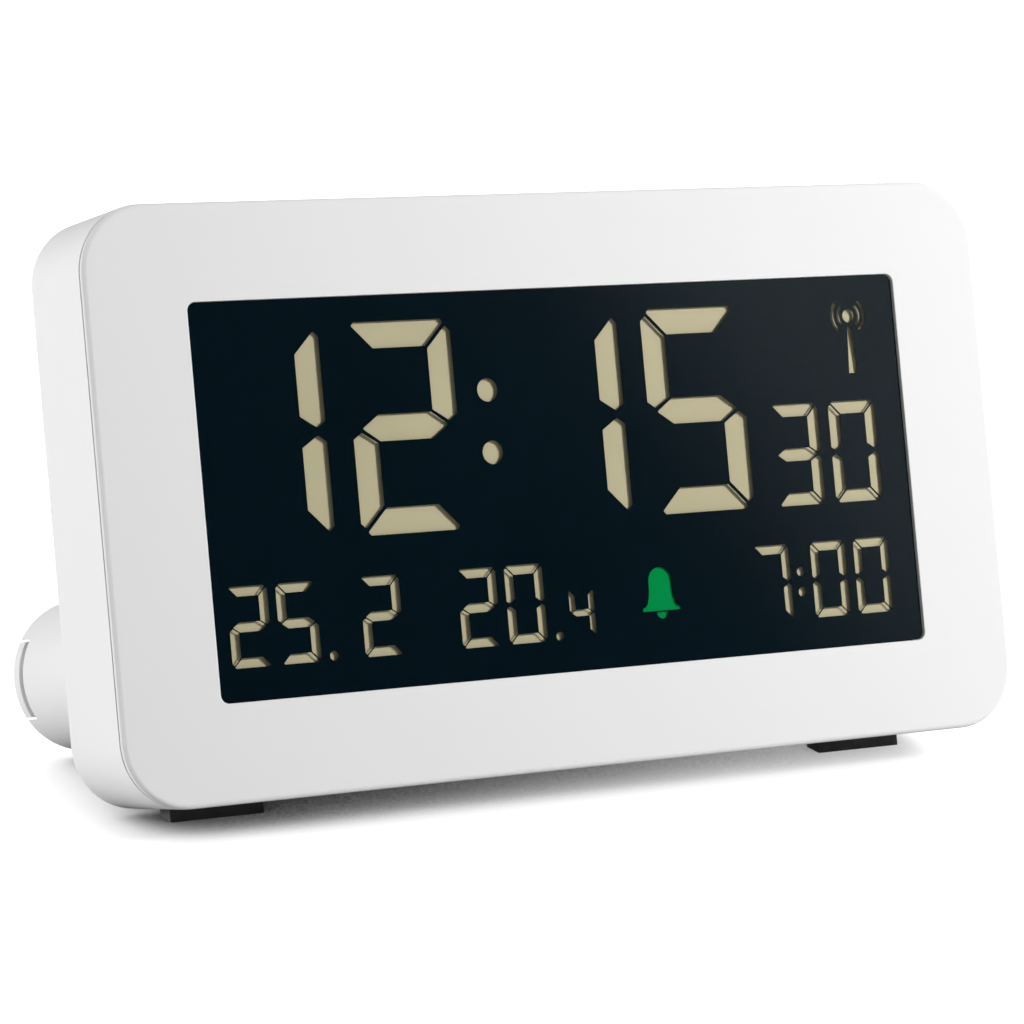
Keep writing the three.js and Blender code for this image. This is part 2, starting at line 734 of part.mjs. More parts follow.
function wallOpenings() {
  const through = past([rearWallInside, slabDepth]);
  const holes = buttons.map(({ x, z, radius }) => peg(x, z, radius + clearance, through, bigRound));
  const slotX = [sliderKnobX[0] - clearance, sliderKnobX[1] + sliderTravel + clearance];
  holes.push(block(slotX, through, span(buttonRow, sliderHeight + 2 * clearance)));
  holes.push(peg(discX, buttonRow, soundHoleRadius, through, tinyRound));
  for (let index = 0; index < soundHoleCount; index += 1) {
    const angle = index / soundHoleCount * Math.PI * 2;
    const x = discX + soundHoleRing * Math.cos(angle);
    const z = buttonRow + soundHoleRing * Math.sin(angle);
    holes.push(peg(x, z, soundHoleRadius, through, tinyRound));
  }
  for (let index = 0; index < ventCount; index += 1) {
    const x = sliderX + (index - (ventCount - 1) / 2) * ventPitch;
    holes.push(block(span(x, ventWidth), through, span(ventZ, ventLength)));
  }
  const topZ = past([topWallInside, caseHeight / 2]);
  holes.push(topPlate(pillShape(snoozeHalfSpan, snoozeWidth / 2 + clearance), topZ, snoozeDepth));
  return holes;
}

function screwHoles() {
  const holes = [];
  for (const { x, z } of caseScrews) {
    holes.push(peg(x, z, caseScrewRadius + clearance, [caseSleeveFront - overshoot, slabDepth]));
    holes.push(peg(x, z, caseScrewHeadRadius + clearance, [counterboreFloor, slabDepth + overshoot]));
  }
  return holes;
}

// Batteries and their contacts
function battery(startX) {
  const radius = cellDiameter / 2;
  const shoulder = cellLength - nubLength;
  const profile = [
    new THREE.Vector2(0, 0),
    new THREE.Vector2(radius - cellEdge, 0),
    new THREE.Vector2(radius, cellEdge),
    new THREE.Vector2(radius, shoulder - cellEdge),
    new THREE.Vector2(radius - cellEdge, shoulder),
    new THREE.Vector2(nubRadius, shoulder),
    new THREE.Vector2(nubRadius, cellLength),
    new THREE.Vector2(0, cellLength),
  ];
  const geometry = new THREE.LatheGeometry(profile, bigRound);
  geometry.rotateZ(-Math.PI / 2);
  geometry.translate(startX, cellAxisY, footZ);
  return toSolid(geometry);
}

function terminalPlate(x) {
  const plate = block(x, span(cellAxisY, plateSize), span(footZ, plateSize));
  return join(plate, block(x, [bayFloorY[0] - lugReach, cellAxisY], span(footZ, lugWidth)));
}

class ConeHelix extends THREE.Curve {
  getPoint(t, target = new THREE.Vector3()) {
    const x = THREE.MathUtils.lerp(springX[0] + springWire / 2, springX[1] - springWire / 2, t);
    const radius = THREE.MathUtils.lerp(springWideRadius, springNarrowRadius, t);
    const angle = t * springTurns * Math.PI * 2;
    return target.set(x, cellAxisY + radius * Math.cos(angle), footZ + radius * Math.sin(angle));
  }
}

// A wire from a terminal's lug to the board
function batteryWire(plateX, boardX) {
  const x = (plateX[0] + plateX[1]) / 2;
  const lugEnd = bayFloorY[0] - lugReach - clearance;
  const boardEnd = boardY[1] + clearance;
  const points = [
    new THREE.Vector3(x, lugEnd, footZ),
    new THREE.Vector3(x, lugEnd - wireStraight, footZ),
    new THREE.Vector3((x + boardX) / 2, (lugEnd + boardEnd) / 2, footZ + wireRise / 2),
    new THREE.Vector3(boardX, boardEnd + wireStraight, footZ + wireRise),
    new THREE.Vector3(boardX, boardEnd, footZ + wireRise),
  ];
  return tube(new THREE.CatmullRomCurve3(points), wireRadius, wireSteps, wireSides);
}

// Temperature sensor: a bead on a leg, behind the vents
function temperatureSensor() {
  const beadY = [rearWallInside - sensorGap - sensorLength, rearWallInside - sensorGap];
  const leg = peg(sliderX, ventZ, sensorLegRadius, [partsOnBoardY, beadY[0] + weld], tinyRound);
  return join(peg(sliderX, ventZ, sensorRadius, beadY), leg);
}

// Rubber feet: wedges whose undersides lie on one plane
const slabEdgeZ = -(caseHeight / 2 - sideDraft);
const lean = Math.atan2(footBottomZ - slabEdgeZ, overallDepth - slabDepth);

// Height of the table in the face's frame, at depth y.
function tableAt(y) {
  return slabEdgeZ - padProud / Math.cos(lean) + (y - slabDepth) * Math.tan(lean);
}

// A wedge from the table up to the surface above it, whose height at depth y is surfaceAt(y).
function pad(x, rear, length, surfaceAt) {
  const front = rear - length;
  const points = [
    [front, tableAt(front)],
    [rear, tableAt(rear)],
    [rear, surfaceAt(rear) - clearance],
    [front, surfaceAt(front) - clearance],
  ];
  return sideProfile(points, x, padWidth);
}

function frontPad(x) {
  const rear = slabDepth - rearEdgeRadius - padEdge;
  return pad(x, rear, frontPadLength, (y) => insetAt(y) - caseHeight / 2);
}

function rearPad(x) {
  return pad(x, overallDepth - padEdge, rearPadLength, () => footBottomZ);
}

// Materials
function finish(color, roughness, metalness = 0) {
  return new THREE.MeshStandardMaterial({ color, roughness, metalness });
}

const whitePlastic = finish(0xe9e9e8, 0.4);
const clearPlastic = finish(0x10161c, 0.08);
clearPlastic.transparent = true;
clearPlastic.opacity = 0.35;
const blackPlastic = finish(0x1b1c1e, 0.5);
const displayGlass = finish(0x0b1016, 0.12);
const darkFilm = finish(0x23282c, 0.3);
const paleOlive = finish(0xc8c294, 0.6);
const milkyPlastic = finish(0xf3f0d8, 0.3);
const boardGreen = finish(0x1e5a35, 0.45);
const steel = finish(0xb9bcc0, 0.3, 1);
const brass = finish(0xc9a45a, 0.35, 1);
const copper = finish(0xb06a3c, 0.4, 1);
const ferrite = finish(0x3a3c40, 0.6);
const rubber = finish(0x2a2b2d, 0.85);
const cellWrap = finish(0x3d5a74, 0.35);
const redSleeve = finish(0xb3261e, 0.5);

const clock = new THREE.Group();

function add(name, solid, material) {
  const mesh = new THREE.Mesh(toGeometry(solid), material);
  mesh.name = name;
  clock.add(mesh);
}

// Case
add('front_bezel', frontBezel(), whitePlastic);
add('window_lens', windowLens(), clearPlastic);
add('rear_housing', rearHousing(), whitePlastic);
add('battery_door', batteryDoor(), whitePlastic);
for (const place of caseScrews) {
  const solid = screw(place, caseScrewRadius, caseScrewHeadRadius, caseHeadY, caseScrewLength);
  add(`case_screw_${place.place}`, solid, steel);
}
const frontPadX = caseWidth / 2 - frontPadInset;
const rearPadX = footHalfSpan - rearPadInset;
add('front_foot_left', frontPad(-frontPadX), rubber);
add('front_foot_right', frontPad(frontPadX), rubber);
add('rear_foot_left', rearPad(-rearPadX), rubber);
add('rear_foot_right', rearPad(rearPadX), rubber);

// Display
const stripZ = [glassZ[0], glassZ[0] + stripHeight];
const stripY = [glassY[1] + clearance, boardY[0] - clearance];
const ledOffset = guideWidth / 2 + clearance + ledThickness / 2;
add('display_frame', displayFrame(), blackPlastic);
add('front_polariser', block(span(0, glassWidth), frontPolariserY, glassZ), darkFilm);
add('lcd_cell', block(span(0, glassWidth), glassY, glassZ), displayGlass);
add('rear_polariser', block(span(0, glassWidth), rearPolariserY, guideZ), darkFilm);
add('light_guide', block(span(0, guideWidth), guideY, guideZ), milkyPlastic);
add('reflector_sheet', block(span(0, guideWidth), reflectorY, guideZ), paleOlive);
add('connector_strip', block(span(0, guideWidth), stripY, stripZ), rubber);
add('left_led', block(span(-ledOffset, ledThickness), guideY, span(0, ledWidth)), milkyPlastic);
add('right_led', block(span(ledOffset, ledThickness), guideY, span(0, ledWidth)), milkyPlastic);

// Board and what it carries
const chipY = [partsOnBoardY, partsOnBoardY + chipThickness];
const controllerZ = span(chipRow, controllerSize);
const crystalY = partsOnBoardY + crystalRadius;
const discY = [rearWallInside - clearance - discThickness, rearWallInside - clearance];
add('main_board', mainBoard(), boardGreen);
boardScrews.forEach((place, index) => {
  const solid = screw(place, boardScrewRadius, boardScrewHeadRadius, boardHeadY, boardScrewLength);
  add(`board_screw_${index + 1}`, solid, steel);
});
add('controller_chip', block(span(controllerX, controllerSize), chipY, controllerZ), blackPlastic);
add('radio_chip', block(span(radioX, radioWidth), chipY, span(chipRow, radioHeight)), blackPlastic);
add('quartz_crystal', bar(crystalY, chipRow, crystalRadius, span(crystalX, crystalLength)), steel);
const capacitorY = [partsOnBoardY, partsOnBoardY + capacitorHeight];
add('capacitor', peg(capacitorX, chipRow, capacitorRadius, capacitorY), blackPlastic);
add('temperature_sensor', temperatureSensor(), blackPlastic);
add('piezo_disc', peg(discX, buttonRow, discRadius, discY, bigRound), brass);
add('ferrite_rod', bar(rodDepth, rodZ, rodRadius, span(0, rodLength)), ferrite);
add('antenna_coil', antennaCoil(), copper);

// Controls
for (const button of buttons) {
  add(`${button.name}_button`, pushButton(button), whitePlastic);
  add(`${button.name}_switch`, boardSwitch(button), blackPlastic);
}
add('alarm_slider', alarmSlider(), whitePlastic);
add('slide_switch', slideSwitch(), blackPlastic);
add('snooze_bar', snoozeBar(), whitePlastic);
add('snooze_switch', snoozeSwitch(), blackPlastic);

// Batteries
add('left_battery', battery(leftCellX), cellWrap);
add('right_battery', battery(rightCellX), cellWrap);
const spring = tube(new ConeHelix(), springWire / 2, springTurns * springSteps, springSides);
add('battery_spring', spring, steel);
add('negative_plate', terminalPlate(negativePlateX), steel);
add('positive_plate', terminalPlate(positivePlateX), steel);
const wireLandingX = boardWidth / 2 - wireLandingInset;
add('black_wire', batteryWire(negativePlateX, -wireLandingX), blackPlastic);
add('red_wire', batteryWire(positivePlateX, wireLandingX), redSleeve);

// Lean the clock back onto its feet, with the origin on the table under its middle.
clock.rotation.x = -lean;
clock.updateMatrixWorld(true);
const bounds = new THREE.Box3().setFromObject(clock, true);
clock.position.set(0, -(bounds.min.y + bounds.max.y) / 2, -bounds.min.z);

const group = new THREE.Group();
group.add(clock);

export default group;
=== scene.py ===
import math

import bmesh
import bpy
from mathutils import Matrix, Vector


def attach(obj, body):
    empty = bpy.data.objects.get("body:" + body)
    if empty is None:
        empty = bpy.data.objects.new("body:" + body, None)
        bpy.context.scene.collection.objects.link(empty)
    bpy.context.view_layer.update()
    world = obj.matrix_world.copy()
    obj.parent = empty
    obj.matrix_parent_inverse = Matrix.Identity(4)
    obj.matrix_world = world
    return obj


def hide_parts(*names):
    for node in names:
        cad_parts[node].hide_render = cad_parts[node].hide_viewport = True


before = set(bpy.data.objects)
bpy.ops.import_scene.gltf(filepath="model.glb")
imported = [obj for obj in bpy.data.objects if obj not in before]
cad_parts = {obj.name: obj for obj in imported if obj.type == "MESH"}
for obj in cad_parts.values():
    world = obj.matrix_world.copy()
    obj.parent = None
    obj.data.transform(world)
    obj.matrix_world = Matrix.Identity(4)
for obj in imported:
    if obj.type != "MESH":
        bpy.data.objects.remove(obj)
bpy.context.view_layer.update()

MM = 0.001
LEAN = math.radians(18.32745)
FACE_MIDDLE = (0, -12.19151, 43.3767)
FACE = Matrix.Scale(MM, 4) @ Matrix.Translation(FACE_MIDDLE) @ Matrix.Rotation(-LEAN, 4, "X")

# Camera, matched to the photograph's outline, seam and window
CAMERA_PLACE = (-0.31085, -0.5063, 0.18252)
CAMERA_AZIMUTH = -31.38833
CAMERA_ELEVATION = 13.90515
CAMERA_ROLL = 4.29724
CAMERA_LENS = 154.06988
SENSOR_WIDTH = 36

# Case
CASE_WIDTH = 142
CASE_HEIGHT = 79
SLAB_DEPTH = 18
OVERALL_DEPTH = 42
CORNER_RADIUS = 9.2
CASE_WALL = 2
SIDE_DRAFT = 0.4
REAR_EDGE_RADIUS = 1.5
BEZEL_THICKNESS = 2
BEZEL_RIM = 0.75  # the part of the front plate that laps over the rear shell's front edge
EDGE_INSET = 0.75  # the rounding along the front plate's edge
EDGE_DEPTH = 0.55
PLATE_REAR_EDGE = 0.08
HOUSING_FRONT = 1.05
SEAM_EDGE = 0.12  # the rounding of the rear shell's front edge
TONGUE_DEPTH = 2.5
TONGUE_WALL = 1.2
TONGUE_LAP = 0.3
GAP = 0.3  # between two pieces that sit or slide together
WELD = 0.5
PAST = 1  # how far a cut runs past the surface that it opens
RIM = 0.15  # the small rounding of the rims of holes and of inner edges

# Window and display
WINDOW_WIDTH = 112.7
WINDOW_HEIGHT = 52.7
WINDOW_RADIUS = 1.2
WINDOW_EDGE = 0.12
LENS_GAP = 0.1
LENS_EDGE = 0.1
LENS_Y = (0.1, 0.45)
DARK_Y = (0.5, 0.55)
BELL_Y = (0.75, 0.8)
PALE_Y = (1.0, 1.1)
LENS_RIM_Y = (0.62, 2.25)
LENS_RIM_WIDTH = 0.8
GROUND_GAP = 0.05

# Foot, battery bay and door
FOOT_HALF_SPAN = 56.65
FOOT_RADIUS = 10.4
FOOT_Z = -20.75
FOOT_FLARE = 0.8  # the small fillet where the foot grows out of the rear wall
FOOT_EDGE = 0.5
FOOT_WALL = 1.8
CELL_RADIUS = 7.1
CELL_LENGTH = 50
CELL_AXIS_Y = 32.6
LEFT_CELL_X = -47.25
RIGHT_CELL_X = 3.05
BAY_RADIUS = 7.4
BAY_HALF_LENGTH = 54.15
BAY_END_WALL = 1.5
BAY_FLOOR_Y = (23.4, 25.2)
PLATE_X = (-53.6, 53.6)
PLATE_THICKNESS = 0.5
LUG_WIDTH = 3
LEDGE_Y = 39.7
DOOR_THICKNESS = 2
DOOR_RADIUS = 8.1
DOOR_OPENING = 8.4
DOOR_EDGE = 0.2  # the rounding of the door's edge, of its hook and of the rim round the door
NOTCH_CORNER = 0.3
TAB_HALF_HEIGHT = 5.2
TAB_THICKNESS = 2.2
TAB_SLOT = 1.3  # width of the finger groove in front of the tab
SLOT_DEPTH = 0.7
TAB_GAP = 0.15
HOOK_HALF_WIDTH = 3
HOOK_Y = (37.7, 38.7)
HOOK_ROOT_X = (61.15, 63.15)
HOOK_TIP = 65.55
DOOR_GRIPS = 5
GRIP_LENGTH = 7.2
GRIP_RADIUS = 0.25
GRIP_FLARE = 0.1
GRIP_PITCH = 1.2  # of the grooves in the door, and of those in the slider

# Controls
BUTTON_ROW = 20
BUTTONS = {"plus": -28, "minus": -14, "set": 0, "alarm": 14, "wave": 28}
BUTTON_RADIUS = 3.2
BUTTON_PROUD = 0.9
BUTTON_EDGE = 0.45
BUTTON_HOLE_RIM = 0.25
DISH_DEPTH = 0.22
DISH_STEPS = 5
MARK_LENGTH = 2.6
MARK_WIDTH = 0.6
MARK_CORNER = 0.15
MARK_DEPTHS = (0.35, 0.02)  # of its root and its top under the cap's rim
DOT_RADIUS = 0.45
DOT_EDGE = 0.1
DOT_SIDES = 29  # shares no factor with the cap's 48 sides, so that their edges hardly meet
FLANGE = 0.9
STEM_RADIUS = 1.3
STEM_FRONT = 13.3
FLANGE_Y = (14.7, 15.7)
RESET_Z = 8
RESET_RADIUS = 1.3
RESET_SINK = 0.6
RESET_EDGE = 0.25
RESET_HOLLOW = ((0.5, 0.12), (0, 0.2))  # radius and depth of the hollow in its top
SLIDER_X = -48
SLIDER_LENGTH = 5
SLIDER_HEIGHT = 3.2
SLIDER_TRAVEL = 5
SLIDER_PROUD = 0.8
SLIDER_CORNER = 0.4
SLIDER_EDGE = 0.3
SLIDER_SLOT_CORNER = 0.5
SLIDER_GROOVE_WIDTH = 0.5
SLIDER_GROOVE_DEPTH = 0.3
SLIDER_FLANGE = 1.4
SLIDER_FLANGE_Y = (12.9, 15.7)
SNOOZE_LENGTH = 54
SNOOZE_WIDTH = 7
SNOOZE_Y = 9.8
SNOOZE_PROUD = 0.5
SNOOZE_EDGE = 0.45
SNOOZE_FLANGE = 1.3
SNOOZE_FLANGE_THICKNESS = 1
SNOOZE_STEM_LENGTH = 4
SNOOZE_STEM_Y = (10.7, 12.2)
SNOOZE_STEM_LOW = 31.35

# Sounder, vents and screws
DISC_X = 46
DISC_RADIUS = 10
RING_WALL = 1.2
RING_HEIGHT = 1.8
SOUND_HOLE_RADIUS = 0.8
SOUND_HOLE_RING = 4.5
SOUND_HOLES = 6
VENTS = 5
VENT_LENGTH = 8
VENT_WIDTH = 1.2
VENT_PITCH = 2.6
VENT_Z = 3.225
CASE_SCREWS = ((-63.5, 30.5), (63.5, 30.5), (-50, -33.9), (50, -33.9))
SCREW_HEAD_RADIUS = 2
SCREW_SHANK_RADIUS = 1.1
COUNTERBORE_FLOOR = 15.9
SLEEVE_FRONT = 14
SLEEVE_WALL = 1

REAR_INSIDE = SLAB_DEPTH - CASE_WALL
SMOOTH_BELOW = math.radians(38)
BEVEL_ABOVE = math.radians(40)


# Points of outlines, each made by a function of the offset inwards
def arc(middle, radius, start, end, steps):
    points = []
    for step in range(steps + 1):
        angle = math.radians(start + (end - start) * step / steps)
        points.append((middle[0] + radius * math.cos(angle), middle[1] + radius * math.sin(angle)))
    return points


def rounded(width, height, radius, middle=(0, 0), steps=12):
    def outline(offset=0):
        turn = max(radius - offset, 0.01)
        right = width / 2 - offset - turn
        top = height / 2 - offset - turn
        points = []
        for side_x, side_z, start in ((1, 1, 0), (-1, 1, 90), (-1, -1, 180), (1, -1, 270)):
            corner = (middle[0] + side_x * right, middle[1] + side_z * top)
            points += arc(corner, turn, start, start + 90, steps)
        return points

    return outline


def pill(half_span, radius, middle=(0, 0), steps=36):
    def outline(offset=0):
        turn = radius - offset
        right = (middle[0] + half_span, middle[1])
        left = (middle[0] - half_span, middle[1])
        return arc(right, turn, -90, 90, steps) + arc(left, turn, 90, 270, steps)

    return outline


def disc(radius, middle=(0, 0), sides=48):
    def outline(offset=0):
        return arc(middle, radius - offset, 0, 360, sides)[:-1]

    return outline


slab = rounded(CASE_WIDTH, CASE_HEIGHT, CORNER_RADIUS, steps=16)


def span(middle, length):
    return (middle - length / 2, middle + length / 2)


def draft(y):
    """How far the case's side wall has drawn in at this depth."""
    return SIDE_DRAFT * (y - HOUSING_FRONT) / (SLAB_DEPTH - HOUSING_FRONT)


def quarter(steps=4):
    return [math.radians(90 * step / steps) for step in range(steps + 1)]


def over(offset, height, radius, rising=1):
    """Profile round a body's edge, from its side to its end face at the given height."""
    return [
        (offset + radius * (1 - math.cos(a)), height - rising * radius * (1 - math.sin(a)))
        for a in quarter()
    ]


def flare(height, radius, rising=1):
    """Profile of a cut whose rim at the given height is rounded."""
    return [
        (-radius * (1 - math.cos(a)), height - rising * radius * (1 - math.sin(a)))
        for a in quarter()
    ]


# Places of a profile's points: u and v along the outline's plane, t along its normal
def on_face(u, v, t):
    return (u, t, v)


def on_top(u, v, t):
    return (u, v, t)


def new_piece(name, points, faces):
    mesh = bpy.data.meshes.new(name)
    mesh.from_pydata(points, [], faces)
    shape = bmesh.new()
    shape.from_mesh(mesh)
    bmesh.ops.remove_doubles(shape, verts=shape.verts, dist=1e-5)
    bmesh.ops.recalc_face_normals(shape, faces=shape.faces)
    shape.to_mesh(mesh)
    shape.free()
    piece = bpy.data.objects.new(name, mesh)
    bpy.context.scene.collection.objects.link(piece)
    return piece


def prism(name, outline, profile, place=on_face):
    """A closed body through outlines, one for each (offset inwards, height) of its profile."""
    points = [place(u, v, t) for offset, t in profile for u, v in outline(offset)]
    count = len(outline(profile[0][0]))
    faces = [tuple(range(count)), tuple(range(len(points) - count, len(points)))]
    for base in range(0, len(points) - count, count):
        for i in range(count):
            j = (i + 1) % count
            faces.append((base + i, base + j, base + count + j, base + count + i))
    return new_piece(name, points, faces)


def block(name, x, y, z, edge=0.0):
    """A box by its ranges, with its corners along y rounded if an edge radius is given."""
    middle = ((x[0] + x[1]) / 2, (z[0] + z[1]) / 2)
    return prism(name, rounded(x[1] - x[0], z[1] - z[0], edge, middle, 4), [(0, y[0]), (0, y[1])])


def turned(name, profile, axis, sides=48):
    """A body turned round an axis that runs backwards: its profile is (radius, y)."""
    points, faces = [], []
    for radius, y in profile:
        points += [(x, y, z) for x, z in arc(axis, radius, 0, 360, sides)[:-1]]
    for base in range(0, len(points) - sides, sides):
        for i in range(sides):
            j = (i + 1) % sides
            faces.append((base + i, base + j, base + sides + j, base + sides + i))
    return new_piece(name, points, faces)


def combine(piece, others, operation="DIFFERENCE"):
    for other in others:
        step = piece.modifiers.new("combine", "BOOLEAN")
        step.operation = operation
        step.solver = "MANIFOLD"
        step.object = other
    depsgraph = bpy.context.evaluated_depsgraph_get()
    old = piece.data
    piece.data = bpy.data.meshes.new_from_object(piece.evaluated_get(depsgraph))
    piece.modifiers.clear()
    bpy.data.meshes.remove(old)
    for other in others:
        bpy.data.objects.remove(other)
    return piece


def soften(piece):
    """Smooth shading that keeps flat faces flat."""
    for polygon in piece.data.polygons:
        polygon.use_smooth = True
    piece.data.set_sharp_from_angle(angle=SMOOTH_BELOW)
    normals = piece.modifiers.new("normals", "WEIGHTED_NORMAL")
    normals.keep_sharp = True


def settle(piece, material, body, slot, *nodes):
    """Puts a finished piece into the row's frame, on its body, in place of its nodes."""
    piece.data.transform(FACE)
    soften(piece)
    piece.data.materials.append(material)
    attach(piece, body)
    if nodes:
        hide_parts(*nodes)


# Materials, each built from noise at the scale of the real surface
NOISE_ENDS = (0.3, 0.7)  # between which most of a noise texture's values lie


def new_material(name):
    material = bpy.data.materials.new(name)
    material.use_nodes = True
    material.node_tree.nodes.clear()
    return material, material.node_tree


def add_node(tree, kind, values=None, **settings):
    made = tree.nodes.new(kind)
    for key, value in settings.items():
        setattr(made, key, value)
    for key, value in (values or {}).items():
        made.inputs[key].default_value = value
    return made


def link(tree, source, target):
    tree.links.new(source, target)


def compute(tree, operation, *terms):
    """The result of a Math node whose terms are numbers or sockets."""
    made = add_node(tree, "ShaderNodeMath", operation=operation)
    for target, term in zip(made.inputs, terms):
        if isinstance(term, (int, float)):
            target.default_value = term
        else:
            link(tree, term, target)
    return made.outputs["Value"]


def mapped(tree, value, source, target=(0, 1), **settings):
    """A value carried from the source range to the target range, and kept inside it."""
    ends = {"From Min": source[0], "From Max": source[1], "To Min": target[0], "To Max": target[1]}
    made = add_node(tree, "ShaderNodeMapRange", ends, **settings)
    link(tree, value, made.inputs["Value"])
    return made.outputs["Result"]


def component(tree, vector, name):
    """The X, Y or Z of a vector."""
    split = add_node(tree, "ShaderNodeSeparateXYZ")
    link(tree, vector, split.inputs["Vector"])
    return split.outputs[name]


def coordinates(tree, stretch=(1, 1, 1)):
    """Object coordinates in millimetres."""
    place = add_node(tree, "ShaderNodeTexCoord")
    scale = [1000 * share for share in stretch]
    mapping = add_node(tree, "ShaderNodeMapping", {"Scale": scale})
    link(tree, place.outputs["Object"], mapping.inputs["Vector"])
    return mapping.outputs["Vector"]


def noise(tree, vector, scale, low, high, detail=3.0):
    """Noise spread over the given range."""
    grain = add_node(tree, "ShaderNodeTexNoise", {"Scale": scale, "Detail": detail})
    link(tree, vector, grain.inputs["Vector"])
    return mapped(tree, grain.outputs["Fac"], NOISE_ENDS, (low, high))


def blend(tree, factor, first, second):
    """Mixes two colours, each a plain colour or a socket."""
    mix = add_node(tree, "ShaderNodeMix", data_type="RGBA")
    link(tree, factor, mix.inputs["Factor"])
    for key, value in (("A", first), ("B", second)):
        socket = next(s for s in mix.inputs if s.name == key and s.type == "RGBA")
        if isinstance(value, tuple):
            socket.default_value = (*value, 1)
        else:
            link(tree, value, socket)
    return next(s for s in mix.outputs if s.type == "RGBA")


def bump(tree, height, distance):
    made = add_node(tree, "ShaderNodeBump", {"Distance": distance * MM, "Strength": 1.0})
    link(tree, height, made.inputs["Height"])
    return made.outputs["Normal"]


def surface(tree, color, roughness, normal=None, **constants):
    """A Principled surface whose colour, roughness and normal come from sockets."""
    shader = add_node(tree, "ShaderNodeBsdfPrincipled")
    output = add_node(tree, "ShaderNodeOutputMaterial")
    link(tree, color, shader.inputs["Base Color"])
    link(tree, roughness, shader.inputs["Roughness"])
    if normal is not None:
        link(tree, normal, shader.inputs["Normal"])
    for key, value in constants.items():
        shader.inputs[key.replace("_", " ")].default_value = value
    link(tree, shader.outputs["BSDF"], output.inputs["Surface"])


def tone(color, factor):
    return tuple(min(1, part * factor) for part in color)


def moulded(name, color, roughness, grain=2.5, depth=0.01, variation=0.02, **constants):
    """Moulded plastic, rubber or glass: faint mottling, uneven gloss and a fine skin."""
    material, tree = new_material(name)
    vector = coordinates(tree)
    patches = noise(tree, vector, 0.05, 0, 1)
    base = blend(tree, patches, tone(color, 1 - variation), tone(color, 1 + variation))
    gloss = noise(tree, vector, 0.3, roughness * 0.88, roughness * 1.12)
    skin = noise(tree, vector, grain, 0, 1, 5.0)
    surface(tree, base, gloss, bump(tree, skin, depth), **constants)
    return material


def metal(name, color, roughness, stretch=(1, 1, 1), depth=0.01, variation=0.12):
    """Metal with fine drawn lines along the stretched axis and a slight tarnish."""
    material, tree = new_material(name)
    plain = coordinates(tree)
    lines = noise(tree, coordinates(tree, stretch), 2.0, 0, 1, 6.0)
    tarnish = noise(tree, plain, 0.35, 0, 1)
    base = blend(tree, tarnish, tone(color, 1 - variation), color)
    gloss = noise(tree, plain, 0.8, roughness * 0.75, roughness * 1.3)
    surface(tree, base, gloss, bump(tree, lines, depth), Metallic=1.0)
    return material


white_plastic = moulded("white_plastic", (0.80, 0.80, 0.80), 0.36, variation=0.008, IOR=1.47)
door_plastic = moulded("door_plastic", (0.80, 0.80, 0.80), 0.4, variation=0.01, IOR=1.47)
control_plastic = moulded("control_plastic", (0.78, 0.78, 0.785), 0.42, variation=0.01, IOR=1.47)
black_plastic = moulded("black_plastic", (0.018, 0.018, 0.02), 0.45, variation=0.15)
rim_black = moulded("rim_black", (0.004, 0.005, 0.006), 0.6, variation=0.2, Specular_IOR_Level=0.1)
foot_rubber = moulded("foot_rubber", (0.075, 0.075, 0.078), 0.8, 1.6, 0.04, 0.12)
contact_rubber = moulded("contact_rubber", (0.05, 0.05, 0.05), 0.7, 3.0, 0.02, 0.2)
display_glass = moulded("display_glass", (0.03, 0.04, 0.05), 0.08, 1.0, 0.002, 0.1)
dark_film = moulded("dark_film", (0.02, 0.025, 0.03), 0.25, 1.0, 0.002, 0.1)
milky_plastic = moulded("milky_plastic", (0.86, 0.83, 0.68), 0.3, 2.0, 0.01, 0.03)
chip_black = moulded("chip_black", (0.022, 0.022, 0.024), 0.55, 5.0, 0.02, 0.2)
ferrite_black = moulded("ferrite_black", (0.045, 0.046, 0.05), 0.55, 2.2, 0.05, 0.25)
red_sleeve = moulded("red_sleeve", (0.45, 0.02, 0.015), 0.4, 1.5, 0.01, 0.06)
black_sleeve = moulded("black_sleeve", (0.02, 0.02, 0.022), 0.4, 1.5, 0.01, 0.15)
plated_steel = metal("plated_steel", (0.66, 0.67, 0.68), 0.28, (1, 1, 0.1))
spring_steel = metal("spring_steel", (0.6, 0.6, 0.6), 0.25, (0.2, 1, 1))
sounder_brass = metal("sounder_brass", (0.72, 0.5, 0.22), 0.3, (1, 1, 0.15))


# The pane's mirror image is made on the layers right behind it.
HARD_COAT = {"Coat_Weight": 1.0, "Coat_Roughness": 0.08, "Coat_IOR": 1.3}


def display_material(name, color, variation, specular):
    """A printed layer of the display: dull, with a faint unevenness and a very fine grain."""
    material, tree = new_material(name)
    vector = coordinates(tree)
    patches = noise(tree, vector, 0.04, 0, 1)
    base = blend(tree, patches, tone(color, 1 - variation), tone(color, 1 + variation))
    gloss = noise(tree, vector, 0.5, 0.5, 0.65)
    grain = noise(tree, vector, 6.0, 0, 1)
    surface(tree, base, gloss, bump(tree, grain, 0.002), Specular_IOR_Level=specular, **HARD_COAT)
    return material


def lens_material():
    """A clear pane that only takes away a little light. The layers behind it carry its gloss."""
    material, tree = new_material("lens_clear")
    cloud = noise(tree, coordinates(tree), 0.1, 0, 1)
    tint = blend(tree, cloud, (0.965, 0.97, 0.965), (0.975, 0.98, 0.975))
    clear = add_node(tree, "ShaderNodeBsdfTransparent")
    output = add_node(tree, "ShaderNodeOutputMaterial")
    link(tree, tint, clear.inputs["Color"])
    link(tree, clear.outputs["BSDF"], output.inputs["Surface"])
    return material


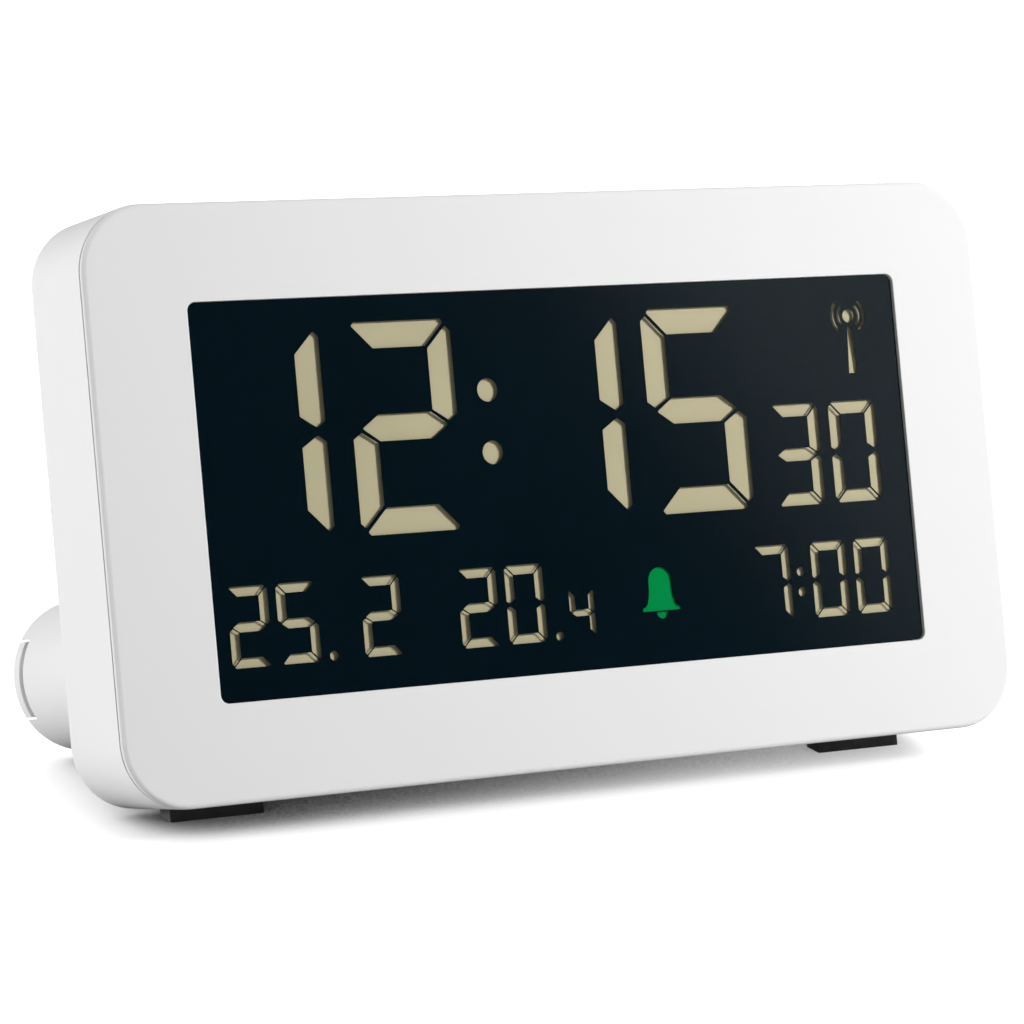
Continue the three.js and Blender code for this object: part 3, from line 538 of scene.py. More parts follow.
def board_material():
    """Green solder mask over a faint net of copper tracks."""
    material, tree = new_material("circuit_board")
    vector = coordinates(tree)
    turn = add_node(tree, "ShaderNodeMapping", {"Rotation": (math.radians(90) + LEAN, 0, 0)})
    link(tree, vector, turn.inputs["Vector"])
    black, white = (0, 0, 0, 1), (1, 1, 1, 1)
    pattern = {"Scale": 0.35, "Mortar Size": 0.06, "Color1": black, "Color2": black, "Mortar": white}
    tracks = add_node(tree, "ShaderNodeTexBrick", pattern)
    link(tree, turn.outputs["Vector"], tracks.inputs["Vector"])
    mask = blend(tree, noise(tree, vector, 0.2, 0, 1), (0.008, 0.075, 0.03), (0.01, 0.1, 0.04))
    base = blend(tree, tracks.outputs["Color"], mask, (0.03, 0.17, 0.06))
    gloss = noise(tree, vector, 0.6, 0.25, 0.4)
    surface(tree, base, gloss, bump(tree, tracks.outputs["Color"], 0.02))
    return material


def winding_material():
    """Enamelled copper wire, wound in fine turns along x."""
    material, tree = new_material("copper_winding")
    vector = coordinates(tree)
    turns = add_node(tree, "ShaderNodeTexWave", {"Scale": 0.9, "Distortion": 0.15})
    link(tree, vector, turns.inputs["Vector"])
    base = blend(tree, turns.outputs["Fac"], (0.22, 0.07, 0.025), (0.62, 0.27, 0.12))
    gloss = noise(tree, vector, 0.7, 0.25, 0.45)
    surface(tree, base, gloss, bump(tree, turns.outputs["Fac"], 0.12), Metallic=1.0)
    return material


lens_clear = lens_material()
dark_print = display_material("dark_print", (0.0019, 0.0072, 0.0118), 0.08, 0.0)
pale_olive = display_material("pale_olive", (0.55, 0.49, 0.325), 0.03, 0.0)
bell_green = display_material("bell_green", (0.001, 0.27, 0.065), 0.06, 0.0)
circuit_board = board_material()
copper_winding = winding_material()


# Case
def slab_profile():
    profile = over(0, HOUSING_FRONT, SEAM_EDGE, rising=-1)[::-1]
    corner = SLAB_DEPTH - REAR_EDGE_RADIUS
    profile.append((draft(corner), corner))
    steps = 8
    for step in range(1, steps + 1):
        a = math.radians(90 * step / steps)
        y = SLAB_DEPTH - REAR_EDGE_RADIUS * (1 - math.sin(a))
        profile.append((draft(y) + REAR_EDGE_RADIUS * (1 - math.cos(a)), y))
    return profile


def foot_profile():
    """The foot's side: a fillet out of the rear wall, then straight to a rounded rear edge."""
    profile = [(-FOOT_FLARE, REAR_INSIDE + WELD)]
    for a in quarter(6):
        y = SLAB_DEPTH + FOOT_FLARE * (1 - math.cos(a))
        profile.append((-FOOT_FLARE * (1 - math.sin(a)), y))
    return profile + over(0, OVERALL_DEPTH, FOOT_EDGE)


def foot_body(name, profile, radius=FOOT_RADIUS):
    return prism(name, pill(FOOT_HALF_SPAN, radius, (0, FOOT_Z)), profile)


def rear_hole(outline, rim=RIM, bottom=REAR_INSIDE - PAST):
    """A cut into the rear wall whose rim is rounded. It goes through, unless its bottom is given."""
    profile = [(0, bottom), *flare(SLAB_DEPTH, rim), (-rim, SLAB_DEPTH + PAST)]
    return prism("cut", outline, profile)


def wall_cuts():
    cuts = []
    for x in BUTTONS.values():
        cuts.append(rear_hole(disc(BUTTON_RADIUS + GAP, (x, BUTTON_ROW)), BUTTON_HOLE_RIM))
    cuts.append(rear_hole(disc(RESET_RADIUS + GAP, (0, RESET_Z))))
    slot_width = SLIDER_LENGTH + SLIDER_TRAVEL + 2 * GAP
    slot_height = SLIDER_HEIGHT + 2 * GAP
    slot_middle = (SLIDER_X + SLIDER_TRAVEL / 2, BUTTON_ROW)
    cuts.append(rear_hole(rounded(slot_width, slot_height, SLIDER_SLOT_CORNER, slot_middle, 8)))
    sounder = (DISC_X, BUTTON_ROW)
    for place in [sounder, *arc(sounder, SOUND_HOLE_RING, 0, 360, SOUND_HOLES)[:-1]]:
        cuts.append(rear_hole(disc(SOUND_HOLE_RADIUS, place)))
    for index in range(VENTS):
        x = SLIDER_X + (index - (VENTS - 1) / 2) * VENT_PITCH
        cuts.append(rear_hole(rounded(VENT_WIDTH, VENT_LENGTH, VENT_WIDTH / 2, (x, VENT_Z), 8)))
    for x, z in CASE_SCREWS:
        front = [(0, SLEEVE_FRONT - PAST), (0, COUNTERBORE_FLOOR + GAP)]
        cuts.append(prism("cut", disc(SCREW_SHANK_RADIUS + GAP, (x, z)), front))
        head = disc(SCREW_HEAD_RADIUS + GAP, (x, z))
        cuts.append(rear_hole(head, bottom=COUNTERBORE_FLOOR))
    top = CASE_HEIGHT / 2 - draft(SNOOZE_Y)
    opening = pill((SNOOZE_LENGTH - SNOOZE_WIDTH) / 2, SNOOZE_WIDTH / 2 + GAP, (0, SNOOZE_Y))
    profile = [(0, top - 2 * CASE_WALL), *flare(top, RIM), (-RIM, top + PAST)]
    cuts.append(prism("cut", opening, profile, on_top))
    return cuts


def bay_cuts():
    room = foot_body("cut", [(0, REAR_INSIDE - PAST), (0, BAY_FLOOR_Y[0])], FOOT_RADIUS - FOOT_WALL)
    bay = foot_body("cut", [(0, BAY_FLOOR_Y[1]), (0, OVERALL_DEPTH + PAST)], BAY_RADIUS)
    walls = []
    for side in (-1, 1):
        x = sorted((side * BAY_HALF_LENGTH, side * (BAY_HALF_LENGTH + BAY_END_WALL)))
        walls.append(block("wall", x, (BAY_FLOOR_Y[0], LEDGE_Y), span(FOOT_Z, 2 * FOOT_RADIUS)))
    combine(bay, walls)
    cuts = [room, bay]
    for x in PLATE_X:
        y = (BAY_FLOOR_Y[0] - PAST, BAY_FLOOR_Y[1] + PAST)
        z = span(FOOT_Z, LUG_WIDTH + 2 * GAP)
        cuts.append(block("cut", span(x, PLATE_THICKNESS + 2 * GAP), y, z))
    seat = [(0, LEDGE_Y), *flare(OVERALL_DEPTH, DOOR_EDGE), (-DOOR_EDGE, OVERALL_DEPTH + PAST)]
    cuts.append(foot_body("cut", seat, DOOR_OPENING))
    tab_y = OVERALL_DEPTH - TAB_THICKNESS
    notch_x = (-FOOT_HALF_SPAN - FOOT_RADIUS - PAST, -FOOT_HALF_SPAN)
    notch_z = span(FOOT_Z, 2 * (TAB_HALF_HEIGHT + GAP))
    notch_y = (tab_y - TAB_GAP, OVERALL_DEPTH + PAST)
    cuts.append(block("cut", notch_x, notch_y, notch_z, NOTCH_CORNER))
    slot = block("cut", notch_x, (tab_y - TAB_SLOT, tab_y), notch_z, NOTCH_CORNER)
    core_profile = [(0, tab_y - TAB_SLOT - PAST), (0, tab_y + PAST)]
    cuts.append(combine(slot, [foot_body("core", core_profile, FOOT_RADIUS - SLOT_DEPTH)]))
    hook_z = span(FOOT_Z, 2 * (HOOK_HALF_WIDTH + GAP))
    front = HOOK_Y[0] - 2 * GAP
    cuts.append(block("cut", (FOOT_HALF_SPAN, HOOK_TIP + GAP), (front, HOOK_Y[1] + GAP), hook_z))
    door_end = FOOT_HALF_SPAN + DOOR_RADIUS
    cuts.append(block("cut", (FOOT_HALF_SPAN, door_end), (front, LEDGE_Y + WELD), hook_z))
    return cuts


def rear_shell():
    shell = prism("rear_shell", slab, slab_profile())
    front = HOUSING_FRONT - PAST
    ends = [(draft(y) + CASE_WALL, y) for y in (front, REAR_INSIDE)]
    combine(shell, [prism("hollow", slab, ends)])
    added = [foot_body("foot", foot_profile())]
    ring_y = (REAR_INSIDE - RING_HEIGHT, REAR_INSIDE + WELD)
    inner = DISC_RADIUS + GAP
    ring = prism("ring", disc(inner + RING_WALL, (DISC_X, BUTTON_ROW)), [(0, y) for y in ring_y])
    hole_y = (ring_y[0] - PAST, REAR_INSIDE)
    combine(ring, [prism("cut", disc(inner, (DISC_X, BUTTON_ROW)), [(0, y) for y in hole_y])])
    added.append(ring)
    sleeve = SCREW_HEAD_RADIUS + GAP + SLEEVE_WALL
    for x, z in CASE_SCREWS:
        boss = prism("boss", disc(sleeve, (x, z)), [(0, SLEEVE_FRONT), (0, REAR_INSIDE + WELD)])
        room = [(draft(y) + WELD, y) for y in (SLEEVE_FRONT - PAST, REAR_INSIDE + PAST)]
        combine(boss, [prism("room", slab, room)], "INTERSECT")
        added.append(boss)
    combine(shell, added, "UNION")
    combine(shell, [*bay_cuts(), *wall_cuts()])
    settle(shell, white_plastic, "case", "white_plastic", "rear_housing")


def front_plate():
    """The rim with its rounded edge, the thicker middle behind it and the ridge that locates it."""
    profile = [(EDGE_INSET * (1 - math.sin(a)), EDGE_DEPTH * (1 - math.cos(a))) for a in quarter(6)]
    profile += over(0, BEZEL_RIM, PLATE_REAR_EDGE)
    plate = prism("front_plate", slab, profile)
    inset = CASE_WALL + GAP + draft(BEZEL_THICKNESS + TONGUE_DEPTH)
    ridge = [(inset, BEZEL_RIM - TONGUE_LAP), *over(inset, BEZEL_THICKNESS + TONGUE_DEPTH, RIM)]
    inner_y = (BEZEL_THICKNESS, BEZEL_THICKNESS + TONGUE_DEPTH + PAST)
    inner = prism("cut", slab, [(inset + TONGUE_WALL, y) for y in inner_y])
    middle = combine(prism("middle", slab, ridge), [inner])
    combine(plate, [middle], "UNION")
    window = rounded(WINDOW_WIDTH, WINDOW_HEIGHT, WINDOW_RADIUS)
    opening = [(-WINDOW_EDGE, -PAST), *flare(0, WINDOW_EDGE, rising=-1)[::-1]]
    opening.append((0, BEZEL_THICKNESS + PAST))
    combine(plate, [prism("cut", window, opening)])
    settle(plate, white_plastic, "case", "white_plastic", "front_bezel")


def battery_door():
    front = OVERALL_DEPTH - DOOR_THICKNESS
    cover_profile = [(0, front), *over(0, OVERALL_DEPTH, DOOR_EDGE)]
    cover = foot_body("door_cover", cover_profile, DOOR_RADIUS)
    tab_y = OVERALL_DEPTH - TAB_THICKNESS
    tab_profile = [*over(0, tab_y, RIM, rising=-1)[::-1], *over(0, OVERALL_DEPTH, FOOT_EDGE)]
    tab = foot_body("tab", tab_profile)
    room_x = (-FOOT_HALF_SPAN - FOOT_RADIUS - PAST, -FOOT_HALF_SPAN)
    room_y = (tab_y - PAST, OVERALL_DEPTH + PAST)
    room = block("room", room_x, room_y, span(FOOT_Z, 2 * TAB_HALF_HEIGHT))
    combine(tab, [room], "INTERSECT")
    hook_z = span(FOOT_Z, 2 * HOOK_HALF_WIDTH)
    root = block("root", HOOK_ROOT_X, (HOOK_Y[0], front + WELD), hook_z, DOOR_EDGE)
    hook = block("hook", (HOOK_ROOT_X[0], HOOK_TIP), HOOK_Y, hook_z, DOOR_EDGE)
    combine(cover, [tab, root, hook], "UNION")
    grip = pill(GRIP_LENGTH / 2 - GRIP_RADIUS, GRIP_RADIUS, steps=6)
    bottom = OVERALL_DEPTH - GRIP_RADIUS
    profile = [(0, bottom), (-GRIP_FLARE, OVERALL_DEPTH), (-GRIP_FLARE, OVERALL_DEPTH + PAST)]
    grooves = []
    for index in range(DOOR_GRIPS):
        x = -FOOT_HALF_SPAN + GRIP_PITCH * index
        groove = prism("cut", grip, profile, lambda u, v, t, x=x: (x + v, t, FOOT_Z + u))
        grooves.append(groove)
    combine(cover, grooves)
    settle(cover, door_plastic, "battery_door", "white_plastic", "battery_door")


# Controls
def button_mark(name, x):
    """A raised sign on a button's cap: a plus, a minus or a dot."""
    y = [SLAB_DEPTH + BUTTON_PROUD - depth for depth in MARK_DEPTHS]
    if name not in ("plus", "minus"):
        dot_profile = [(0, y[0]), (DOT_RADIUS, y[0]), (DOT_RADIUS, y[1] - DOT_EDGE)]
        dot_profile += [(DOT_RADIUS - DOT_EDGE, y[1]), (0, y[1])]
        return [turned("mark", dot_profile, (x, BUTTON_ROW), DOT_SIDES)]
    bars = [(MARK_LENGTH, MARK_WIDTH)]
    if name == "plus":
        bars.append((MARK_WIDTH, MARK_LENGTH))
    return [
        block("mark", span(x, length), y, span(BUTTON_ROW, height), MARK_CORNER)
        for length, height in bars
    ]


def capped_stem(radius, top, edge):
    """Profile of a control from its stem over its flange to the rounded edge of its cap."""
    profile = [(0, STEM_FRONT), (STEM_RADIUS, STEM_FRONT), (STEM_RADIUS, FLANGE_Y[0])]
    profile += [(radius + FLANGE, FLANGE_Y[0]), (radius + FLANGE, FLANGE_Y[1])]
    profile.append((radius, FLANGE_Y[1]))
    return profile + [(radius - offset, y) for offset, y in over(0, top, edge)]


def push_button(name, x):
    top = SLAB_DEPTH + BUTTON_PROUD
    profile = capped_stem(BUTTON_RADIUS, top, BUTTON_EDGE)
    dish = BUTTON_RADIUS - BUTTON_EDGE
    for step in range(1, DISH_STEPS + 1):
        share = 1 - step / DISH_STEPS
        profile.append((dish * share, top - DISH_DEPTH * (1 - share**2)))
    cap = turned(f"{name}_cap", profile, (x, BUTTON_ROW))
    combine(cap, button_mark(name, x), "UNION")
    settle(cap, control_plastic, f"{name}_button", "white_plastic", f"{name}_button")


def reset_pin():
    top = SLAB_DEPTH - RESET_SINK
    profile = capped_stem(RESET_RADIUS, top, RESET_EDGE)
    profile += [(radius, top - depth) for radius, depth in RESET_HOLLOW]
    pin = turned("reset_pin", profile, (0, RESET_Z), 32)
    settle(pin, control_plastic, "reset_button", "white_plastic", "reset_button")


def slider_knob():
    top = SLAB_DEPTH + SLIDER_PROUD
    place = (SLIDER_X, BUTTON_ROW)
    knob_outline = rounded(SLIDER_LENGTH, SLIDER_HEIGHT, SLIDER_CORNER, place, 6)
    flange_y = SLIDER_FLANGE_Y
    profile = [(-SLIDER_FLANGE, flange_y[0]), (-SLIDER_FLANGE, flange_y[1]), (0, flange_y[1])]
    profile += over(0, top, SLIDER_EDGE)
    knob = prism("slider_knob", knob_outline, profile)
    grooves = []
    for index in (-1, 0, 1):
        x = SLIDER_X + index * GRIP_PITCH
        y = (top - SLIDER_GROOVE_DEPTH, top + PAST)
        z = span(BUTTON_ROW, SLIDER_HEIGHT + 2 * PAST)
        grooves.append(block("cut", span(x, SLIDER_GROOVE_WIDTH), y, z, 0.05))
    combine(knob, grooves)
    settle(knob, control_plastic, "alarm_slider", "white_plastic", "alarm_slider")


def snooze_top():
    top = CASE_HEIGHT / 2 - draft(SNOOZE_Y) + SNOOZE_PROUD
    inside = CASE_HEIGHT / 2 - CASE_WALL - draft(SNOOZE_Y + SNOOZE_WIDTH / 2 + SNOOZE_FLANGE)
    flange = (inside - GAP - SNOOZE_FLANGE_THICKNESS, inside - GAP)
    profile = [(-SNOOZE_FLANGE, flange[0]), (-SNOOZE_FLANGE, flange[1]), (0, flange[1])]
    profile += over(0, top, SNOOZE_EDGE)
    outline = pill((SNOOZE_LENGTH - SNOOZE_WIDTH) / 2, SNOOZE_WIDTH / 2, (0, SNOOZE_Y))
    bar = prism("snooze_top", outline, profile, on_top)
    stem_z = (SNOOZE_STEM_LOW, flange[0] + WELD)
    stem = block("stem", span(0, SNOOZE_STEM_LENGTH), SNOOZE_STEM_Y, stem_z)
    combine(bar, [stem], "UNION")
    settle(bar, control_plastic, "snooze_bar", "white_plastic", "snooze_bar")


# Display
def sheet(name, outlines, y):
    """A flat sheet with holes: the first outline is its edge, and the others are holes in it."""
    curve = bpy.data.curves.new(name, "CURVE")
    curve.dimensions = "2D"
    curve.fill_mode = "BOTH"
    curve.extrude = (y[1] - y[0]) / 2
    for outline in outlines:
        spline = curve.splines.new("POLY")
        spline.points.add(len(outline) - 1)
        spline.use_cyclic_u = True
        for point, (x, z) in zip(spline.points, outline):
            point.co = (x, z, 0, 1)
    holder = bpy.data.objects.new(name, curve)
    bpy.context.scene.collection.objects.link(holder)
    depsgraph = bpy.context.evaluated_depsgraph_get()
    flat = bpy.data.meshes.new_from_object(holder.evaluated_get(depsgraph))
    middle = (y[0] + y[1]) / 2
    points = [(v.co.x, middle - v.co.z, v.co.y) for v in flat.vertices]
    faces = [tuple(p.vertices) for p in flat.polygons]
    bpy.data.objects.remove(holder)
    bpy.data.curves.remove(curve)
    bpy.data.meshes.remove(flat)
    return new_piece(name, points, faces)


def softened(points, radius, steps=3):
    """A polygon with its corners rounded a little."""
    result = []
    count = len(points)
    for index, corner in enumerate(points):
        here = Vector(corner)
        before = (Vector(points[index - 1]) - here).normalized()
        after = (Vector(points[(index + 1) % count]) - here).normalized()
        half = before.angle(after) / 2
        reach = radius / math.tan(half)
        start = here + before * reach
        end = here + after * reach
        for step in range(steps + 1):
            t = step / steps
            point = start * (1 - t) ** 2 + here * 2 * t * (1 - t) + end * t**2
            result.append((point.x, point.y))
    return result


# Each digit is made of up to seven bars, named a to g.
DIGITS = {
    "0": "abcdef", "1": "bc", "2": "abged", "3": "abgcd", "4": "fgbc",
    "5": "afgcd", "6": "afgedc", "7": "abc", "8": "abcdefg", "9": "abcdfg",
}


def bar_outline(letter, w, h, b):
    """One bar of a digit whose half width is w, half height is h and bar is b wide."""
    upright = [
        (w - 1.05 * b, h - 1.1 * b), (w - 0.22 * b, h - 0.26 * b), (w, h - 0.46 * b),
        (w, 0.39 * b), (w - 0.36 * b, 0.14 * b), (w - 1.05 * b, 0.58 * b),
    ]
    level = [
        (-(w - 0.28 * b), h - 0.13 * b), (-(w - 0.4 * b), h), (w - 0.4 * b, h),
        (w - 0.28 * b, h - 0.13 * b), (w - 1.14 * b, h - b), (-(w - 1.14 * b), h - b),
    ]
    middle = [
        (-(w - 0.41 * b), 0), (-(w - 1.13 * b), 0.5 * b), (w - 1.13 * b, 0.5 * b),
        (w - 0.41 * b, 0), (w - 1.13 * b, -0.5 * b), (-(w - 1.13 * b), -0.5 * b),
    ]
    shapes = {
        "a": (level, 1, 1), "b": (upright, 1, 1), "c": (upright, 1, -1), "d": (level, 1, -1),
        "e": (upright, -1, -1), "f": (upright, -1, 1), "g": (middle, 1, 1),
    }
    points, side_x, side_z = shapes[letter]
    return [(x * side_x, z * side_z) for x, z in points]


def digit(text, x, z, width, height, bar):
    outlines = []
    for letter in DIGITS[text]:
        points = bar_outline(letter, width / 2, height / 2, bar)
        outlines.append(softened([(x + u, z + v) for u, v in points], bar * 0.06))
    return outlines


def dot(x, z, radius):
    return arc((x, z), radius, 0, 360, 24)[:-1]


# What the display shows: figure, x, z, width, height and bar
BIG = (8.5, 16.2, 28.6, 3.6)
SECONDS = (1.3, 8.1, 14.4, 1.8)
LOWER = (-16.55, 6.0, 10.7, 1.3)
SMALL = (-18.4, 4.0, 6.6, 0.9)
FIGURES = (
    ("1", -45.3, BIG), ("2", -25.1, BIG), ("1", 1.4, BIG), ("5", 21.5, BIG),
    ("3", 37.65, SECONDS), ("0", 47.55, SECONDS),
    ("2", -51.05, LOWER), ("5", -43.85, LOWER), ("2", -31.25, LOWER),
    ("2", -16.3, LOWER), ("0", -8.95, LOWER), ("4", -0.1, SMALL),
    ("7", 31.6, LOWER), ("0", 41.25, LOWER), ("0", 48.65, LOWER),
)
DOTS = (
    (-12.0, 12.8, 1.6), (-12.0, 4.3, 1.6), (-38.95, -21.3, 0.65), (-4.0, -21.35, 0.6),
    (36.3, -15.25, 0.65), (36.3, -18.1, 0.65),
)
BELL_MIDDLE = 12.8
BELL_FILM_Z = -16.6
BELL_FILM_WIDTH = 8
BELL_FILM_HEIGHT = 8.6
BELL_FILM_CORNER = 0.5
MAST_MIDDLE = (48.4, 20.6)


def bell_outline():
    """The alarm sign: a dome that flares into a brim."""
    right = arc((0, -14.9), 1.9, 90, 0, 10)
    right += [(1.95, -16.2), (2.1, -17.3), (2.35, -18.1), (2.7, -18.45), (3.15, -18.6)]
    right.append((3.15, -19.05))
    left = [(-x, z) for x, z in reversed(right)][:-1]
    return [(BELL_MIDDLE + x, z) for x, z in right + left]


def clapper_outline():
    return [(BELL_MIDDLE + x, -19.2 + z) for x, z in arc((0, 0), 0.95, 180, 360, 12)]


def wave_outline(radius, width, side):
    start, end = (-50, 50) if side > 0 else (130, 230)
    outer = arc(MAST_MIDDLE, radius + width / 2, start, end, 14)
    inner = arc(MAST_MIDDLE, radius - width / 2, start, end, 14)
    return outer + inner[::-1]


def mast_outlines():
    x, z = MAST_MIDDLE
    mast = [(x - 0.3, z - 1.5), (x + 0.35, z - 1.5), (x + 0.9, z - 8.2), (x - 0.65, z - 8.2)]
    outlines = [dot(x, z, 0.95), mast]
    for side in (-1, 1):
        outlines.append(wave_outline(1.75, 0.45, side))
        outlines.append(wave_outline(2.75, 0.5, side))
    return outlines


window_edge = rounded(WINDOW_WIDTH, WINDOW_HEIGHT, WINDOW_RADIUS, steps=6)


def display_print():
    """The dark print. Its holes are the bars, dots and signs, which show what lies behind."""
    holes = []
    for text, x, (z, width, height, bar) in FIGURES:
        holes += digit(text, x, z, width, height, bar)
    holes += [dot(*place) for place in DOTS]
    holes += [bell_outline(), clapper_outline(), *mast_outlines()]
    dark = sheet("display_print", [window_edge(LENS_GAP), *holes], DARK_Y)
    settle(dark, dark_print, "case", "dark_film")


def display_ground():
    inset = LENS_GAP + LENS_RIM_WIDTH + GROUND_GAP
    pale = prism("display_ground", window_edge, [(inset, y) for y in PALE_Y])
    settle(pale, pale_olive, "case", "pale_olive")


def bell_film():
    middle = (BELL_MIDDLE, BELL_FILM_Z)
    outline = rounded(BELL_FILM_WIDTH, BELL_FILM_HEIGHT, BELL_FILM_CORNER, middle, 4)
    film = prism("bell_film", outline, [(0, y) for y in BELL_Y])
    settle(film, bell_green, "case", "dark_film")


def lens_rim():
    rim = prism("lens_rim", window_edge, [(LENS_GAP, y) for y in LENS_RIM_Y])
    inset = LENS_GAP + LENS_RIM_WIDTH
    hole_y = (LENS_RIM_Y[0] - PAST, LENS_RIM_Y[1] + PAST)
    combine(rim, [prism("cut", window_edge, [(inset, y) for y in hole_y])])
    settle(rim, rim_black, "case", "black_plastic")


def lens_pane():
    front = over(LENS_GAP, LENS_Y[0], LENS_EDGE, rising=-1)[::-1]
    pane = prism("lens_pane", window_edge, [*front, (LENS_GAP, LENS_Y[1])])
    settle(pane, lens_clear, "case", "clear_plastic", "window_lens")


# Batteries
BAND_START = 36.0  # distance of a sleeve's pale band from the middle of the clock


def cell_material():
    """A plain wrapped cell: a dark sleeve with a pale band at its outer end."""
    material, tree = new_material("cell_sleeve")
    vector = coordinates(tree)
    outwards = compute(tree, "PINGPONG", component(tree, vector, "X"), CELL_LENGTH + 0.3)
    band = compute(tree, "GREATER_THAN", outwards, BAND_START)
    dark = blend(tree, noise(tree, vector, 0.15, 0, 1), (0.035, 0.075, 0.13), (0.045, 0.09, 0.15))
    base = blend(tree, band, dark, (0.5, 0.5, 0.48))
    gloss = noise(tree, vector, 0.4, 0.22, 0.36)
    skin = noise(tree, coordinates(tree, (0.3, 1, 1)), 0.6, 0, 1)
    surface(tree, base, gloss, bump(tree, skin, 0.03), Coat_Weight=0.3)
    return material


def cell(name, start):
    """A battery along x, with a sleeve that laps over its rounded ends."""
    radius = CELL_RADIUS
    nub, shoulder = 2.7, CELL_LENGTH - 1
    edge = 0.6
    rim = radius - edge
    profile = [(0, 0), (radius - 1.6, 0), (radius - 1.5, 0.12), (rim, 0)]
    profile += [(rim + edge * math.sin(a), edge - edge * math.cos(a)) for a in quarter()]
    profile += [(rim + edge * math.cos(a), shoulder - edge + edge * math.sin(a)) for a in quarter()]
    profile += [(radius - 1.7, shoulder), (radius - 1.8, shoulder - 0.12)]
    profile += [(nub + 0.2, shoulder - 0.1), (nub, shoulder), (nub, CELL_LENGTH - 0.25)]
    profile += [(nub - 0.25, CELL_LENGTH), (0, CELL_LENGTH)]
    piece = turned(f"{name}_cell", profile, (0, 0), 64)
    for vertex in piece.data.vertices:
        x, y, z = vertex.co
        vertex.co = (start + y, CELL_AXIS_Y + x, FOOT_Z + z)
    settle(piece, cell_sleeve, "case", "cell_can", f"{name}_battery")
    piece.data.materials.append(plated_steel)
    inward = FACE.inverted()
    for polygon in piece.data.polygons:
        x, y, z = inward @ polygon.center
        from_axis = math.hypot(y - CELL_AXIS_Y, z - FOOT_Z)
        along = x - start
        ended = along < 0.3 or along > shoulder - 0.3
        polygon.material_index = 1 if ended and from_axis < radius - 1.2 else 0


cell_sleeve = cell_material()

rear_shell()
front_plate()
battery_door()
for name, x in BUTTONS.items():
    push_button(name, x)
reset_pin()
slider_knob()
snooze_top()
display_print()
display_ground()
bell_film()
lens_rim()
lens_pane()
cell("left", LEFT_CELL_X)
cell("right", RIGHT_CELL_X)


# Nodes of the frame that stay, with finer edges and their own materials
def refine(name, material, width):
    """Finer edges for a node: its shape stays, and modifiers round its edges by the width in mm."""
    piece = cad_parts[name]
    merge = piece.modifiers.new("merge", "WELD")
    merge.merge_threshold = 1e-6
    if width:
        edge = piece.modifiers.new("edge", "BEVEL")
        edge.width = width * MM
        edge.segments = 2
        edge.limit_method = "ANGLE"
        edge.angle_limit = BEVEL_ABOVE
        edge.harden_normals = False
    normals = piece.modifiers.new("normals", "WEIGHTED_NORMAL")
    normals.keep_sharp = True
    piece.data.materials.clear()
    piece.data.materials.append(material)


SIDES = ("left", "right")
SWITCHES = ("plus", "minus", "set", "alarm", "wave", "reset", "slide", "snooze")
KEPT = (
    (plated_steel, 0.08, [f"case_screw_{row}_{side}" for row in ("upper", "lower") for side in SIDES]),
    (plated_steel, 0.08, [f"board_screw_{index}" for index in range(1, 5)]),
    (plated_steel, 0.12, ["quartz_crystal"]),
    (plated_steel, 0.06, ["negative_plate", "positive_plate"]),
    (spring_steel, 0.0, ["battery_spring"]),
    (sounder_brass, 0.08, ["piezo_disc"]),
    (copper_winding, 0.1, ["antenna_coil"]),
    (ferrite_black, 0.15, ["ferrite_rod"]),
    (foot_rubber, 0.15, [f"{end}_foot_{side}" for end in ("front", "rear") for side in SIDES]),
    (contact_rubber, 0.1, ["connector_strip"]),
    (black_plastic, 0.0, ["display_frame"]),
    (black_plastic, 0.1, ["temperature_sensor"]),
    (black_plastic, 0.12, [f"{control}_switch" for control in SWITCHES]),
    (black_plastic, 0.15, ["capacitor"]),
    (chip_black, 0.12, ["controller_chip", "radio_chip"]),
    (circuit_board, 0.0, ["main_board"]),
    (display_glass, 0.15, ["lcd_cell"]),
    (dark_film, 0.0, ["front_polariser", "rear_polariser"]),
    (milky_plastic, 0.1, ["light_guide", "left_led", "right_led"]),
    (pale_olive, 0.0, ["reflector_sheet"]),
    (black_sleeve, 0.0, ["black_wire"]),
    (red_sleeve, 0.0, ["red_wire"]),
)
for material, width, names in KEPT:
    for name in names:
        refine(name, material, width)


# Studio: a pale floor, a white surround and soft lamps
def add_camera():
    data = bpy.data.cameras.new("camera")
    data.lens = CAMERA_LENS
    data.sensor_width = SENSOR_WIDTH
    data.clip_start = 0.01
    data.clip_end = 50
    camera = bpy.data.objects.new("camera", data)
    aim = Matrix.Rotation(math.radians(CAMERA_AZIMUTH), 4, "Z")
    aim = aim @ Matrix.Rotation(math.radians(90 - CAMERA_ELEVATION), 4, "X")
    aim = aim @ Matrix.Rotation(math.radians(CAMERA_ROLL), 4, "Z")
    camera.matrix_world = Matrix.Translation(CAMERA_PLACE) @ aim
    bpy.context.scene.collection.objects.link(camera)
    bpy.context.scene.camera = camera


def add_lamp(name, place, width, power):
    data = bpy.data.lights.new(name, "AREA")
    data.shape = "RECTANGLE"
    data.size = data.size_y = width
    data.energy = power
    lamp = bpy.data.objects.new(name, data)
    lamp.location = place
    aim = Vector(LAMP_TARGET) - Vector(place)
    lamp.rotation_euler = aim.to_track_quat("-Z", "Y").to_euler()
    bpy.context.scene.collection.objects.link(lamp)


def seen_share(tree):
    """1 for the rays that show the surround, which are camera, glossy and transmission rays."""
    path = add_node(tree, "ShaderNodeLightPath").outputs
    share = compute(tree, "MAXIMUM", path["Is Camera Ray"], path["Is Glossy Ray"])
    return compute(tree, "MAXIMUM", share, path["Is Transmission Ray"])


FLOOR_SIZE = 12
FLOOR_TONE = 0.5
FLOOR_GLOW = 1.0
SHADOW_REACH = 0.05  # metres from the clock within which the floor darkens
